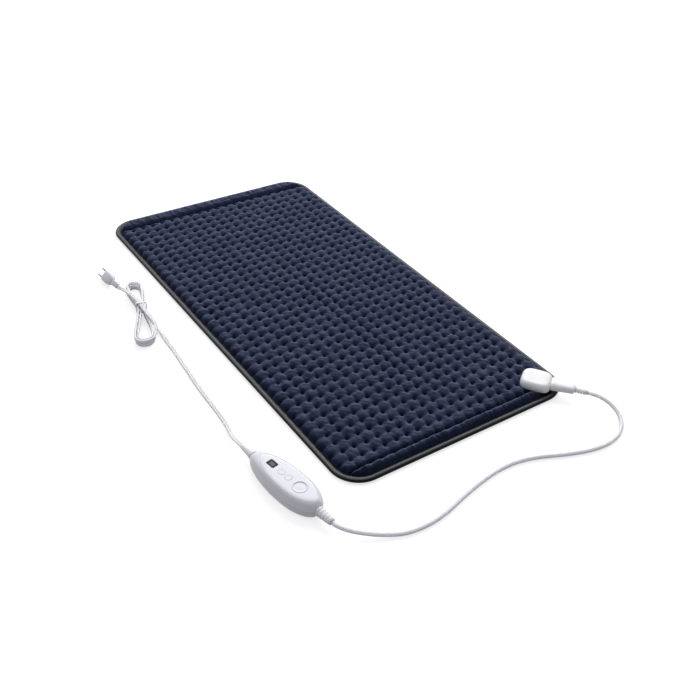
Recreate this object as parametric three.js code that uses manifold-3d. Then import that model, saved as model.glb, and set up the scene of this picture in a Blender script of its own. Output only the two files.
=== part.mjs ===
import * as THREE from 'three';
import { mergeVertices } from 'three/addons/utils/BufferGeometryUtils.js';
import Module from 'manifold-3d';

const wasm = await Module();
wasm.setup();

// Sizes are in millimetres. Z is up, z = 0 is the surface that the pad, the controller and the
// cords lie on, and the origin is the middle of the pad's underside.

// Clearance between neighbouring pieces.
const GAP = 0.3;

// Pad.
const PAD_LENGTH = 838;
const PAD_WIDTH = 432;
const PAD_CORNER_RADIUS = 47;
const BINDING_REACH = 10.5;
const BINDING_WALL = 1.4;
const BINDING_ROUND = 1.7;
const LOWER_COVER_THICKNESS = 3.5;
const UPPER_RIM_THICKNESS = 2.1;
const UPPER_COVER_SKIN = 2;
const COVER_SHOULDER = 5;
const TUFT_PITCH = 28.5;
const TUFT_RISE = 3.6;
const FAR_ROLL_WIDTH = 32.2;
const SOCKET_ROLL_WIDTH = 14.2;
const END_ROLL_RISE = 3.2;
const SIDE_MARGIN = 13;
const CARRIER_THICKNESS = 0.8;
const CARRIER_MARGIN = 20;
const ELEMENT_DIAMETER = 2;
const ELEMENT_RUNS = 8;
const ELEMENT_RUN_PITCH = 50;
const ELEMENT_END_MARGIN = 50;
const ELEMENT_SOCKET_MARGIN = 103;
const CUTOUT_LENGTH = 14;
const CUTOUT_WIDTH = 5;

// Socket on the pad's corner and the connector that plugs into it. They share one axis.
const SOCKET_INSET_X = 33.8;
const SOCKET_INSET_Y = 45;
const SOCKET_TURN = 36;
const SOCKET_SEAT_RISE = 2.6;
const CAP_LENGTH = 49;
const CAP_WIDTH = 45;
const CAP_HEIGHT = 13.4;
const CAP_ROOF = 2.6;
const CAP_FRONT = 21.2;
const AXIS_HEIGHT = 6.4;
const FLANGE_LENGTH = 34;
const FLANGE_WIDTH = 39;
const PIN_BLOCK_LENGTH = 24.7;
const PIN_BLOCK_WIDTH = 24;
const PIN_BLOCK_FRONT = 4.7;
const PIN_DIAMETER = 1.8;
const PIN_LENGTH = 16.5;
const PIN_ROOT = 6.5;
const PIN_SPACING = 4.4;
const CONTACT_WALL = 0.5;
const CONTACT_LENGTH = 9.5;
const SOCKET_SCREW_SPACING = 32;
const SOCKET_SCREW_SHIFT = -8;
const SOCKET_SCREW_DIAMETER = 2.5;
const SOCKET_SCREW_LENGTH = 15;
const NOSE_WIDTH = 18.4;
const NOSE_HEIGHT = 8;
const NOSE_LENGTH = 15.6;
const CONNECTOR_LENGTH = 37.5;
const CONNECTOR_WIDTH = 25;
const CONNECTOR_HEIGHT = 15;
const CONNECTOR_TAIL_WIDTH = 17;
const CONNECTOR_TAIL_HEIGHT = 12.4;
const CONNECTOR_RELIEF_LENGTH = 18.5;
const CONNECTOR_RELIEF_DIAMETER = 10.2;
const CONNECTOR_RELIEF_TAIL = 9;
const CONNECTOR_RELIEF_ROOT = 7.8;
const CONNECTOR_RELIEF_SEAT = 6;

// Controller, placed by the middle of its case.
const CASE_X = 367.2;
const CASE_Y = -285.7;
const CASE_TURN = 9;
const CASE_LENGTH = 137;
const CASE_WIDTH = 52;
const CASE_HEIGHT = 28;
const CASE_PARTING = 13.5;
const CASE_WALL = 2.2;
const CASE_ROOF = 2.4;
const CASE_FLOOR = 2.2;
const CASE_TOP_INSET = 4.8;
const CASE_TOP_PULL = 8;
const CASE_BOTTOM_INSET = 6;
const PANEL_THICKNESS = 0.8;
const PANEL_MARGIN = 1.2;
const WINDOW_X = -28.5;
const WINDOW_LENGTH = 15;
const WINDOW_WIDTH = 11;
const WINDOW_THICKNESS = 1.8;
const TEMP_BUTTON_X = -8;
const TIMER_BUTTON_X = 6.5;
const SMALL_BUTTON_DIAMETER = 11.2;
const SMALL_BUTTON_RISE = 0.7;
const POWER_BUTTON_X = 30;
const POWER_BUTTON_DIAMETER = 22.4;
const POWER_BUTTON_RISE = 0.9;
const BUTTON_TRAVEL = 0.8;
const BUTTON_LIP = 1.1;
const BUTTON_FLANGE = 1.2;
const BUTTON_PLAY = 0.4;
const BUTTON_STEM_DIAMETER = 4.4;
const SWITCH_SIDE = 6.2;
const SWITCH_HEIGHT = 3.6;
const PLUNGER_DIAMETER = 3.2;
const PLUNGER_LENGTH = 2.3;
const PLUNGER_RISE = 1.1;
const CASE_SCREW_DIAMETER = 2.4;
const CASE_SCREW_HEAD = 5.4;
const CASE_SCREW_LENGTH = 21.4;
const CASE_POST_DIAMETER = 6.4;
const CASE_SCREW_MAINS_INSET = 22;
const CASE_SCREW_PAD_INSET = 15.5;
const CASE_SCREW_SPACING = 19;
// The board lies between the screws of the two ends, with a gap to each screw's axis.
const BOARD_MAINS_GAP = 6;
const BOARD_PAD_GAP = 6.5;
const BOARD_START = CASE_SCREW_MAINS_INSET + BOARD_MAINS_GAP;
const BOARD_LENGTH = CASE_LENGTH - BOARD_START - CASE_SCREW_PAD_INSET - BOARD_PAD_GAP;
const BOARD_X = BOARD_START + (BOARD_LENGTH - CASE_LENGTH) / 2;
const BOARD_WIDTH = 33;
const BOARD_THICKNESS = 1.6;
const BOARD_LIFT = 1.1;
const BOARD_PEG_INSET = 5;
const BOARD_PEG_DIAMETER = 3.6;
const FUSE_DIAMETER = 5.2;
const FUSE_LENGTH = 16;
const RELIEF_NECK_DIAMETER = 9.2;
const RELIEF_COLLAR_DIAMETER = 12;
const RELIEF_COLLAR_SEAT = 4.1;
const RIB_DEPTH = 0.95;
const PAD_RELIEF_LENGTH = 26.5;
const PAD_RELIEF_DIAMETER = 15;
const PAD_RELIEF_TAIL = 10.8;
const MAINS_RELIEF_LENGTH = 26;
const MAINS_RELIEF_DIAMETER = 15.2;
const MAINS_RELIEF_WAIST = 12.8;
const MAINS_RELIEF_TAIL = 9;

// Cords, hank, tie and plug.
const LEAD_DIAMETER = 6.6;
const CORD_WIDTH = 7.2;
const CORD_THICKNESS = 3.6;
const CORD_FLOOR_GAP = 0.1;
const HANK_X = -122;
const HANK_Y = -279;
const HANK_HEADING = 163.75;
const HANK_TURNS = 3;
const HANK_PITCH = 4.5;
const HANK_LAYER_GAP = 0.6;
const HANK_UPPER_RUN = 65.5;
const HANK_UPPER_RADIUS = 15;
const HANK_LOWER_RUN = 85.5;
const HANK_LOWER_RADIUS = 17.5;
const HANK_BOW = 0.00065;
const TIE_WIDTH = 5;
const TIE_THICKNESS = 1.2;
const TIE_SLACK = 0.35;
const PLUG_X = -245.4;
const PLUG_Y = -291.9;
const PLUG_Z = 10.8;
const PLUG_HEADING = 186.1;
const PLUG_LEAN = 44;
const PLUG_WIDTH = 20.8;
const PLUG_THICKNESS = 13.6;
const PLUG_LENGTH = 25;
const PLUG_RELIEF_LENGTH = 19;
const BLADE_SPACING = 12.7;
const BLADE_WIDTH = 6.35;
const BLADE_THICKNESS = 1.5;
const BLADE_REACH = 16.5;
const BLADE_ROOT = 6;

// Shared shape-making.

const radians = THREE.MathUtils.degToRad;

function smooth(value) {
  return THREE.MathUtils.smoothstep(value, 0, 1);
}

function closed(geometry) {
  const bare = new THREE.BufferGeometry();
  bare.setAttribute('position', geometry.getAttribute('position'));
  bare.setIndex(geometry.getIndex());
  const merged = mergeVertices(bare, 1e-4);
  const index = merged.getIndex().array;
  const kept = [];
  for (let i = 0; i < index.length; i += 3) {
    const corners = [index[i], index[i + 1], index[i + 2]];
    if (new Set(corners).size === 3) {
      kept.push(...corners);
    }
  }
  merged.setIndex(kept);
  return merged;
}

function outward(geometry) {
  const body = closed(geometry);
  const position = body.getAttribute('position');
  const index = body.getIndex().array;
  const [a, b, c] = [new THREE.Vector3(), new THREE.Vector3(), new THREE.Vector3()];
  let volume = 0;
  for (let i = 0; i < index.length; i += 3) {
    a.fromBufferAttribute(position, index[i]);
    b.fromBufferAttribute(position, index[i + 1]);
    c.fromBufferAttribute(position, index[i + 2]);
    volume += a.dot(b.cross(c));
  }
  if (volume < 0) {
    body.setIndex(Array.from(index).reverse());
  }
  return body;
}

function solidOf(geometry) {
  const body = outward(geometry);
  return new wasm.Manifold(new wasm.Mesh({
    numProp: 3,
    vertProperties: new Float32Array(body.getAttribute('position').array),
    triVerts: new Uint32Array(body.getIndex().array),
  }));
}

function carve(base, { add = [], cut = [] }) {
  let solid = solidOf(base);
  for (const geometry of add) {
    solid = solid.add(solidOf(geometry));
  }
  for (const geometry of cut) {
    solid = solid.subtract(solidOf(geometry));
  }
  const mesh = solid.getMesh();
  const result = new THREE.BufferGeometry();
  result.setAttribute('position', new THREE.BufferAttribute(mesh.vertProperties, 3));
  result.setIndex(new THREE.BufferAttribute(mesh.triVerts, 1));
  return result;
}

// Skin over a row of rings with equal point counts, capped at both ends or joined end to end.
function loft(rings, endless = false) {
  const count = rings[0].length;
  const points = rings.flat();
  const index = [];
  const spans = endless ? rings.length : rings.length - 1;
  for (let r = 0; r < spans; r++) {
    const near = r * count;
    const far = ((r + 1) % rings.length) * count;
    for (let i = 0; i < count; i++) {
      const next = (i + 1) % count;
      index.push(near + i, near + next, far + next);
      index.push(near + i, far + next, far + i);
    }
  }
  if (!endless) {
    for (const [first, turn] of [[0, 1], [(rings.length - 1) * count, 0]]) {
      const middle = new THREE.Vector3();
      for (let i = 0; i < count; i++) {
        middle.addScaledVector(points[first + i], 1 / count);
      }
      points.push(middle);
      for (let i = 0; i < count; i++) {
        const pair = [first + i, first + (i + 1) % count];
        index.push(pair[turn], pair[1 - turn], points.length - 1);
      }
    }
  }
  const geometry = new THREE.BufferGeometry().setFromPoints(points);
  geometry.setIndex(index);
  return outward(geometry);
}

function roundedOutline(length, width, radius, steps) {
  const points = [];
  for (let corner = 0; corner < 4; corner++) {
    const towardX = corner === 0 || corner === 3 ? 1 : -1;
    const towardY = corner < 2 ? 1 : -1;
    for (let i = 0; i <= steps; i++) {
      const angle = 0.5 * Math.PI * (corner + i / steps);
      points.push(new THREE.Vector2(
        towardX * (length / 2 - radius) + radius * Math.cos(angle),
        towardY * (width / 2 - radius) + radius * Math.sin(angle),
      ));
    }
  }
  return points;
}

function superellipse(length, width, power, count) {
  const points = [];
  for (let i = 0; i < count; i++) {
    const angle = 2 * Math.PI * (i + 0.5) / count;
    const [c, s] = [Math.cos(angle), Math.sin(angle)];
    points.push(new THREE.Vector2(
      0.5 * length * Math.sign(c) * Math.abs(c) ** (2 / power),
      0.5 * width * Math.sign(s) * Math.abs(s) ** (2 / power),
    ));
  }
  return points;
}

function levelRing(outline, z, x = 0) {
  return outline.map((point) => new THREE.Vector3(point.x + x, point.y, z));
}

function uprightRing(outline, x, z) {
  return outline.map((point) => new THREE.Vector3(x, point.x, point.y + z));
}

function prism(outline, bottom, top, x = 0, y = 0) {
  const geometry = loft([levelRing(outline, bottom), levelRing(outline, top)]);
  return geometry.translate(x, y, 0);
}

function block(x0, x1, width, z0, z1, y = 0) {
  const geometry = new THREE.BoxGeometry(x1 - x0, width, z1 - z0);
  return geometry.translate((x0 + x1) / 2, y, (z0 + z1) / 2);
}

// Turned piece from [distance along the axis, radius] pairs.
function turnedUpright(profile, sides, x = 0, y = 0) {
  const points = profile.map(([along, radius]) => new THREE.Vector2(radius, along));
  return new THREE.LatheGeometry(points, sides).rotateX(Math.PI / 2).translate(x, y, 0);
}

function turnedLevel(profile, sides, y, z) {
  const points = profile.map(([along, radius]) => new THREE.Vector2(radius, along));
  return new THREE.LatheGeometry(points, sides).rotateZ(-Math.PI / 2).translate(0, y, z);
}

function rod(start, end, radius) {
  return [[start, 0], [start, radius], [end, radius], [end, 0]];
}

function piece(group, name, geometry, color, roughness = 0.5, metalness = 0) {
  const material = new THREE.MeshStandardMaterial({ color, roughness, metalness });
  const mesh = new THREE.Mesh(outward(geometry), material);
  mesh.name = name;
  group.add(mesh);
}

// Path through given stations, with the section's wide side rolled about it by given angles.
class Route extends THREE.Curve {
  constructor(stations, rolls) {
    super();
    this.stations = stations;
    this.rolls = rolls;
  }

  getPoint(t) {
    return this.stations[Math.round(t * (this.stations.length - 1))].clone();
  }

  getSpacedPoints() {
    return this.stations.map((station) => station.clone());
  }

  computeFrenetFrames() {
    const [tangents, normals, binormals] = [[], [], []];
    const last = this.stations.length - 1;
    this.stations.forEach((station, i) => {
      const before = this.stations[Math.max(i - 1, 0)];
      const after = this.stations[Math.min(i + 1, last)];
      const tangent = after.clone().sub(before).normalize();
      const side = new THREE.Vector3(0, 0, 1).cross(tangent).normalize();
      const up = tangent.clone().cross(side);
      const normal = side.multiplyScalar(Math.cos(this.rolls[i]));
      normal.addScaledVector(up, Math.sin(this.rolls[i]));
      tangents.push(tangent);
      normals.push(normal);
      binormals.push(tangent.clone().cross(normal));
    });
    return { tangents, normals, binormals };
  }
}

function flatCordShape(sides) {
  const [wide, thin] = [CORD_WIDTH / 2, CORD_THICKNESS / 2];
  const shoulder = wide - 0.75 * thin;
  const points = sides === 6
    ? [[wide, 0], [shoulder, thin], [-shoulder, thin], [-wide, 0], [-shoulder, -thin], [shoulder, -thin]]
    : [[wide, 0.4 * thin], [shoulder, thin], [-shoulder, thin], [-wide, 0.4 * thin],
      [-wide, -0.4 * thin], [-shoulder, -thin], [shoulder, -thin], [wide, -0.4 * thin]];
  return new THREE.Shape(points.map(([x, y]) => new THREE.Vector2(x, y)));
}

function flatCord(stations, rolls, sides) {
  const route = new Route(stations, rolls);
  return new THREE.ExtrudeGeometry(flatCordShape(sides), {
    steps: stations.length - 1,
    extrudePath: route,
  });
}

const object = new THREE.Group();
object.name = 'heating_pad';

const pad = new THREE.Group();
object.add(pad);

const socket = new THREE.Group();
socket.position.set(PAD_LENGTH / 2 - SOCKET_INSET_X, PAD_WIDTH / 2 - SOCKET_INSET_Y, 0);
socket.rotation.z = radians(SOCKET_TURN);
object.add(socket);
socket.updateMatrix();

const controller = new THREE.Group();
controller.position.set(CASE_X, CASE_Y, 0);
controller.rotation.z = radians(CASE_TURN);
object.add(controller);
controller.updateMatrix();

const cords = new THREE.Group();
object.add(cords);

// Levels inside the pad, from the floor up.
const lowerRimBottom = BINDING_WALL + GAP;
const upperRimBottom = LOWER_COVER_THICKNESS + GAP;
const upperRimTop = upperRimBottom + UPPER_RIM_THICKNESS;
const bindingTop = upperRimTop + GAP + BINDING_WALL;
const carrierBottom = LOWER_COVER_THICKNESS + GAP;
const carrierTop = carrierBottom + CARRIER_THICKNESS;
const elementBottom = carrierTop + GAP;
const coverUnderside = elementBottom + ELEMENT_DIAMETER + GAP;
const dimpleLevel = coverUnderside + UPPER_COVER_SKIN;
const seatLevel = dimpleLevel + SOCKET_SEAT_RISE;
const coverInset = BINDING_REACH + GAP;
const rimInset = BINDING_WALL + GAP;

function padOutline(inset) {
  return roundedOutline(
    PAD_LENGTH - 2 * inset, PAD_WIDTH - 2 * inset, PAD_CORNER_RADIUS - inset, 6);
}

// Lower cover: a slab whose edge is thinned from below to slip into the binding.
piece(pad, 'pad_bottom_cover', loft([
  levelRing(padOutline(coverInset), 0),
  levelRing(padOutline(coverInset), lowerRimBottom),
  levelRing(padOutline(rimInset), lowerRimBottom),
  levelRing(padOutline(rimInset), LOWER_COVER_THICKNESS),
]), 0x1b2434, 0.95);

// Binding: a folded tape, as a channel section carried round the pad's outline.
function bindingRings() {
  const section = [
    [BINDING_REACH, 0], [BINDING_ROUND, 0], [0, BINDING_ROUND], [0, bindingTop - BINDING_ROUND],
    [BINDING_ROUND, bindingTop], [BINDING_REACH, bindingTop],
    [BINDING_REACH, bindingTop - BINDING_WALL], [BINDING_WALL, bindingTop - BINDING_WALL],
    [BINDING_WALL, BINDING_WALL], [BINDING_REACH, BINDING_WALL],
  ];
  const lines = section.map(([inset, z]) => levelRing(padOutline(inset), z));
  return lines[0].map((_, i) => lines.map((line) => line[i]));
}
piece(pad, 'edge_binding', loft(bindingRings(), true), 0x3a3c40, 0.8);

// Upper cover: sewn tufts between a grid of dimples, a plain padded roll along both short ends,
// and a thin rim in the binding. The grid's corner squares are drawn onto the round corners.
function topCover() {
  const halfX = PAD_LENGTH / 2 - coverInset;
  const halfY = PAD_WIDTH / 2 - coverInset;
  const radius = PAD_CORNER_RADIUS - coverInset;
  const tuftStart = FAR_ROLL_WIDTH - halfX;
  const tuftRun = 2 * halfX - FAR_ROLL_WIDTH - SOCKET_ROLL_WIDTH;
  const tuftY = halfY - SIDE_MARGIN;
  const columns = Math.round(tuftRun / TUFT_PITCH);
  const rows = Math.round(2 * tuftY / TUFT_PITCH);
  const xs = [-halfX, 0.45 * FAR_ROLL_WIDTH - halfX];
  const ys = [-halfY];
  for (let i = 0; i <= columns; i++) {
    xs.push(tuftStart + tuftRun * i / columns);
  }
  for (let j = 0; j <= rows; j++) {
    ys.push(-tuftY + 2 * tuftY * j / rows);
  }
  xs.push(halfX - 0.45 * SOCKET_ROLL_WIDTH, halfX);
  ys.push(halfY);

  function place(x, y, z) {
    const p = (Math.abs(x) - halfX + radius) / radius;
    const q = (Math.abs(y) - halfY + radius) / radius;
    if (p <= 0 || q <= 0) {
      return new THREE.Vector3(x, y, z);
    }
    return new THREE.Vector3(
      Math.sign(x) * (halfX - radius + radius * p * Math.sqrt(1 - q * q / 2)),
      Math.sign(y) * (halfY - radius + radius * q * Math.sqrt(1 - p * p / 2)),
      z,
    );
  }

  const points = [];
  const index = [];
  const [lastX, lastY] = [xs.length - 1, ys.length - 1];
  const grid = (i, j) => i * ys.length + j;
  xs.forEach((x, i) => {
    ys.forEach((y, j) => {
      let z = dimpleLevel;
      if (i === 0 || i === lastX || j === 0 || j === lastY) {
        z = upperRimTop;
      } else if (i === 1 || i === lastX - 1) {
        z = dimpleLevel + END_ROLL_RISE * (j === 1 || j === lastY - 1 ? 0.3 : 1);
      }
      points.push(place(x, y, z));
    });
  });
  for (let i = 0; i < lastX; i++) {
    for (let j = 0; j < lastY; j++) {
      const ring = [grid(i, j), grid(i + 1, j), grid(i + 1, j + 1), grid(i, j + 1)];
      if (i > 1 && i < lastX - 2 && j > 0 && j < lastY - 1) {
        const peak = dimpleLevel + TUFT_RISE;
        points.push(place((xs[i] + xs[i + 1]) / 2, (ys[j] + ys[j + 1]) / 2, peak));
        for (let k = 0; k < 4; k++) {
          index.push(ring[k], ring[(k + 1) % 4], points.length - 1);
        }
      } else {
        index.push(ring[0], ring[1], ring[2], ring[0], ring[2], ring[3]);
      }
    }
  }

  const edge = [];
  for (let i = 0; i < lastX; i++) {
    edge.push(grid(i, 0));
  }
  for (let j = 0; j < lastY; j++) {
    edge.push(grid(lastX, j));
  }
  for (let i = lastX; i > 0; i--) {
    edge.push(grid(i, lastY));
  }
  for (let j = lastY; j > 0; j--) {
    edge.push(grid(0, j));
  }
  const outwardAt = edge.map((vertex) => {
    const { x, y } = points[vertex];
    const p = Math.max(Math.abs(x) - halfX + radius, 0) * Math.sign(x);
    const q = Math.max(Math.abs(y) - halfY + radius, 0) * Math.sign(y);
    return new THREE.Vector2(p, q).normalize();
  });
  const rimReach = coverInset - rimInset;
  const steps = [
    [rimReach, (upperRimTop + upperRimBottom) / 2],
    [0, upperRimBottom],
    [-COVER_SHOULDER, coverUnderside],
  ];
  let above = edge;
  for (const [reach, z] of steps) {
    const below = edge.map((vertex, k) => {
      const { x, y } = points[vertex];
      points.push(new THREE.Vector3(x + reach * outwardAt[k].x, y + reach * outwardAt[k].y, z));
      return points.length - 1;
    });
    edge.forEach((_, k) => {
      const next = (k + 1) % edge.length;
      index.push(above[k], below[k], below[next], above[k], below[next], above[next]);
    });
    above = below;
  }
  points.push(new THREE.Vector3(0, 0, coverUnderside));
  above.forEach((vertex, k) => {
    index.push(vertex, points.length - 1, above[(k + 1) % above.length]);
  });
  const geometry = new THREE.BufferGeometry().setFromPoints(points);
  geometry.setIndex(index);
  return outward(geometry);
}

// Sizes that the socket's pieces share, in the socket's own frame: x along the connector's axis.
const capBottom = seatLevel + GAP;
const capTop = capBottom + CAP_HEIGHT;
const pocketTop = capTop - CAP_ROOF;
const axisLevel = capBottom + AXIS_HEIGHT;
const capBack = CAP_FRONT + 1.3 - CAP_LENGTH;
const capMiddle = capBack + CAP_LENGTH / 2;
const blockMiddle = PIN_BLOCK_FRONT - PIN_BLOCK_LENGTH / 2;
const pinBlockOutline = roundedOutline(PIN_BLOCK_LENGTH, PIN_BLOCK_WIDTH, 2, 2);
const pocketOutline = roundedOutline(
  PIN_BLOCK_LENGTH + 2 * GAP, PIN_BLOCK_WIDTH + 2 * GAP, 2 + GAP, 2);
const screwY = SOCKET_SCREW_SPACING / 2;
const pinOffsets = [-1.5, -0.5, 0.5, 1.5].map((step) => step * PIN_SPACING);
const pinRoot = PIN_BLOCK_FRONT - PIN_ROOT;
const mateGap = 0.4;

function capOutline(inset) {
  return superellipse(CAP_LENGTH - 2 * inset, CAP_WIDTH - 2 * inset, 3.6, 32);
}

function socketScrew(extra) {
  const radius = SOCKET_SCREW_DIAMETER / 2 + extra;
  const headRadius = SOCKET_SCREW_DIAMETER + extra;
  const bottom = elementBottom - extra;
  return [
    [bottom, 0], [bottom, headRadius], [elementBottom + 0.2, headRadius],
    [elementBottom + 0.2 + SOCKET_SCREW_DIAMETER / 2, radius],
    [elementBottom + SOCKET_SCREW_LENGTH + extra, radius],
    [elementBottom + SOCKET_SCREW_LENGTH + extra, 0],
  ];
}

const screwHoles = [-screwY, screwY].map((y) => turnedUpright(
  socketScrew(GAP), 10, SOCKET_SCREW_SHIFT, y));

// The cover is pressed flat under the cap, and the pin block and two screws pass through it.
const coverCuts = [
  prism(capOutline(-0.6), seatLevel, dimpleLevel + 20, capMiddle),
  prism(pocketOutline, 0, seatLevel + 1, blockMiddle),
  ...[-screwY, screwY].map((y) => turnedUpright(
    rod(0, seatLevel + 1, SOCKET_SCREW_DIAMETER / 2 + 2 * GAP), 10, SOCKET_SCREW_SHIFT, y)),
].map((geometry) => geometry.applyMatrix4(socket.matrix));
piece(pad, 'pad_top_cover', carve(topCover(), { cut: coverCuts }), 0x22304a, 0.95);

// Carrier sheet, heating wire and cut-out, between the two covers.
piece(pad, 'wire_carrier_sheet', prism(
  padOutline(CARRIER_MARGIN), carrierBottom, carrierTop), 0xd8d6cf, 0.9);

function elementStations() {
  const level = elementBottom + ELEMENT_DIAMETER / 2;
  const turn = ELEMENT_RUN_PITCH / 2;
  const farX = -PAD_LENGTH / 2 + ELEMENT_END_MARGIN + turn;
  const nearX = PAD_LENGTH / 2 - ELEMENT_SOCKET_MARGIN - turn;
  const returnX = nearX + 2 * turn;
  const firstY = -(ELEMENT_RUNS - 1) * turn;
  const bend = 0.6 * turn;
  const path = [[0.8, 0.88], [0.32, 1.2], [0, 1.76]].map(([out, down]) => [
    returnX + out * turn, -firstY - down * turn]);
  for (let k = 0; k <= 3; k++) {
    const angle = 0.5 * Math.PI * k / 3;
    path.push([returnX - bend + bend * Math.cos(angle), firstY + bend - bend * Math.sin(angle)]);
  }
  for (let run = 0; run < ELEMENT_RUNS - 1; run++) {
    const [endX, way] = run % 2 === 0 ? [farX, -1] : [nearX, 1];
    const middle = firstY + (run + 0.5) * ELEMENT_RUN_PITCH;
    for (let k = 0; k <= 5; k++) {
      const angle = Math.PI * k / 5;
      path.push([endX + way * turn * Math.sin(angle), middle - turn * Math.cos(angle)]);
    }
  }
  path.push([returnX + 0.16 * turn, -firstY]);
  return path.map(([x, y]) => new THREE.Vector3(x, y, level));
}

const elementPath = elementStations();
const elementSection = new THREE.Shape(superellipse(ELEMENT_DIAMETER, ELEMENT_DIAMETER, 2, 6));
piece(pad, 'heating_element', new THREE.ExtrudeGeometry(elementSection, {
  steps: elementPath.length - 1,
  extrudePath: new Route(elementPath, elementPath.map(() => 0)),
}), 0xe6e2d8, 0.6);

piece(pad, 'overheat_cutout', prism(
  roundedOutline(CUTOUT_LENGTH, CUTOUT_WIDTH, 2, 3),
  elementBottom, elementBottom + ELEMENT_DIAMETER, -PAD_LENGTH / 8), 0x2b2b2b, 0.6);

// Socket base: a flange under the cover and the block that carries the pins.
const flangeMiddle = capBack + FLANGE_LENGTH / 2;
piece(socket, 'socket_base', carve(
  prism(superellipse(FLANGE_LENGTH, FLANGE_WIDTH, 2.5, 28), elementBottom,
    elementBottom + ELEMENT_DIAMETER, flangeMiddle),
  {
    add: [prism(pinBlockOutline, elementBottom + 1, pocketTop - GAP, blockMiddle)],
    cut: [
      ...screwHoles,
      ...pinOffsets.map((y) => turnedLevel(
        rod(pinRoot - GAP, PIN_BLOCK_FRONT + 1, PIN_DIAMETER / 2 + GAP), 8, y, axisLevel)),
    ],
  },
), 0xe4e4e6, 0.5);

// Socket cap: a rounded block, hollowed for the pin block and open in front for the connector.
piece(socket, 'socket_cap', carve(
  loft([
    levelRing(capOutline(0.7), capBottom, capMiddle),
    levelRing(capOutline(0), capBottom + 1, capMiddle),
    levelRing(capOutline(0), capTop - 5, capMiddle),
    levelRing(capOutline(1.2), capTop - 2, capMiddle),
    levelRing(capOutline(3.2), capTop - 0.5, capMiddle),
    levelRing(capOutline(6), capTop, capMiddle),
  ]),
  {
    cut: [
      block(CAP_FRONT, CAP_FRONT + 10, 2 * CAP_WIDTH, 0, 2 * capTop),
      prism(pocketOutline, capBottom - 1, pocketTop, blockMiddle),
      block(PIN_BLOCK_FRONT - 1, CAP_FRONT + 1, NOSE_WIDTH + 2 * mateGap,
        axisLevel - NOSE_HEIGHT / 2 - mateGap, axisLevel + NOSE_HEIGHT / 2 + mateGap),
      ...screwHoles,
    ],
  },
), 0xf2f2f4, 0.4);

pinOffsets.forEach((y, k) => {
  const tip = pinRoot + PIN_LENGTH;
  piece(socket, `socket_pin_${k + 1}`, turnedLevel([
    [pinRoot, 0], [pinRoot, PIN_DIAMETER / 2], [tip - 0.6, PIN_DIAMETER / 2], [tip, 0.4], [tip, 0],
  ], 8, y, axisLevel), 0xc9a445, 0.35, 1);
});

[-screwY, screwY].forEach((y, k) => {
  piece(socket, `socket_screw_${k + 1}`, turnedUpright(socketScrew(0), 10, SOCKET_SCREW_SHIFT, y),
    0xb9bcc0, 0.35, 1);
});

// Connector: a tapering grip with a nose that enters the socket, four contacts and a ribbed relief.
const noseBack = CAP_FRONT + GAP;
const noseFront = noseBack - NOSE_LENGTH;
const gripEnd = noseBack + CONNECTOR_LENGTH;
const contactRadius = PIN_DIAMETER / 2 + GAP + CONTACT_WALL;
const contactFront = noseFront + GAP;
const contactBack = contactFront + CONTACT_LENGTH;
const reliefRootRadius = CONNECTOR_RELIEF_ROOT / 2;
const reliefSeat = gripEnd - CONNECTOR_RELIEF_SEAT;

function gripRing(x, share, shrink = 0) {
  const width = CONNECTOR_WIDTH + (CONNECTOR_TAIL_WIDTH - CONNECTOR_WIDTH) * share - shrink;
  const height = CONNECTOR_HEIGHT + (CONNECTOR_TAIL_HEIGHT - CONNECTOR_HEIGHT) * share - shrink;
  return uprightRing(superellipse(width, height, 3, 20), x, axisLevel);
}

function noseRing(x) {
  return uprightRing(superellipse(NOSE_WIDTH, NOSE_HEIGHT, 5, 20), x, axisLevel);
}

piece(socket, 'connector_body', carve(
  loft([
    noseRing(noseFront), noseRing(noseBack),
    gripRing(noseBack, 0, 1), gripRing(noseBack + 0.8, 0),
    gripRing(noseBack + 0.45 * CONNECTOR_LENGTH, 0.36),
    gripRing(gripEnd - 1.4, 1), gripRing(gripEnd, 1, 2.6),
  ]),
  {
    cut: [
      ...pinOffsets.map((y) => turnedLevel(
        rod(noseFront - 1, contactBack + GAP, contactRadius + GAP), 10, y, axisLevel)),
      turnedLevel(rod(reliefSeat, gripEnd + 1, reliefRootRadius + GAP), 14, 0, axisLevel),
    ],
  },
), 0xededf0, 0.45);

pinOffsets.forEach((y, k) => {
  const bore = PIN_DIAMETER / 2 + GAP;
  const boreEnd = pinRoot + PIN_LENGTH + GAP;
  piece(socket, `connector_contact_${k + 1}`, turnedLevel([
    [boreEnd, 0], [boreEnd, bore], [contactFront, bore], [contactFront, contactRadius],
    [contactBack, contactRadius], [contactBack, 0],
  ], 10, y, axisLevel), 0xc9a445, 0.35, 1);
});

// Ribbed sleeve from one end to the other, its ribs standing proud of a tapering core.
function ribs(start, length, count, startRadius, endRadius) {
  const profile = [];
  for (let k = 0; k < count; k++) {
    const pitch = length / count;
    const along = start + k * pitch;
    const radius = startRadius + (endRadius - startRadius) * k / (count - 1);
    profile.push([along, radius], [along + 0.6 * pitch, radius]);
    if (k < count - 1) {
      profile.push([along + 0.68 * pitch, radius - RIB_DEPTH], [along + 0.92 * pitch, radius - RIB_DEPTH]);
    }
  }
  const last = profile[profile.length - 1];
  profile.push([start + length, last[1] - 0.5]);
  return profile;
}

const leadOut = gripEnd + GAP + CONNECTOR_RELIEF_LENGTH;
piece(socket, 'connector_strain_relief', turnedLevel([
  [reliefSeat + GAP, 0], [reliefSeat + GAP, reliefRootRadius], [gripEnd + GAP, reliefRootRadius],
  ...ribs(gripEnd + GAP, CONNECTOR_RELIEF_LENGTH, 4,
    CONNECTOR_RELIEF_DIAMETER / 2, CONNECTOR_RELIEF_TAIL / 2),
  [leadOut, 0],
], 10, 0, axisLevel), 0xe6e6e9, 0.5);

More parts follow.
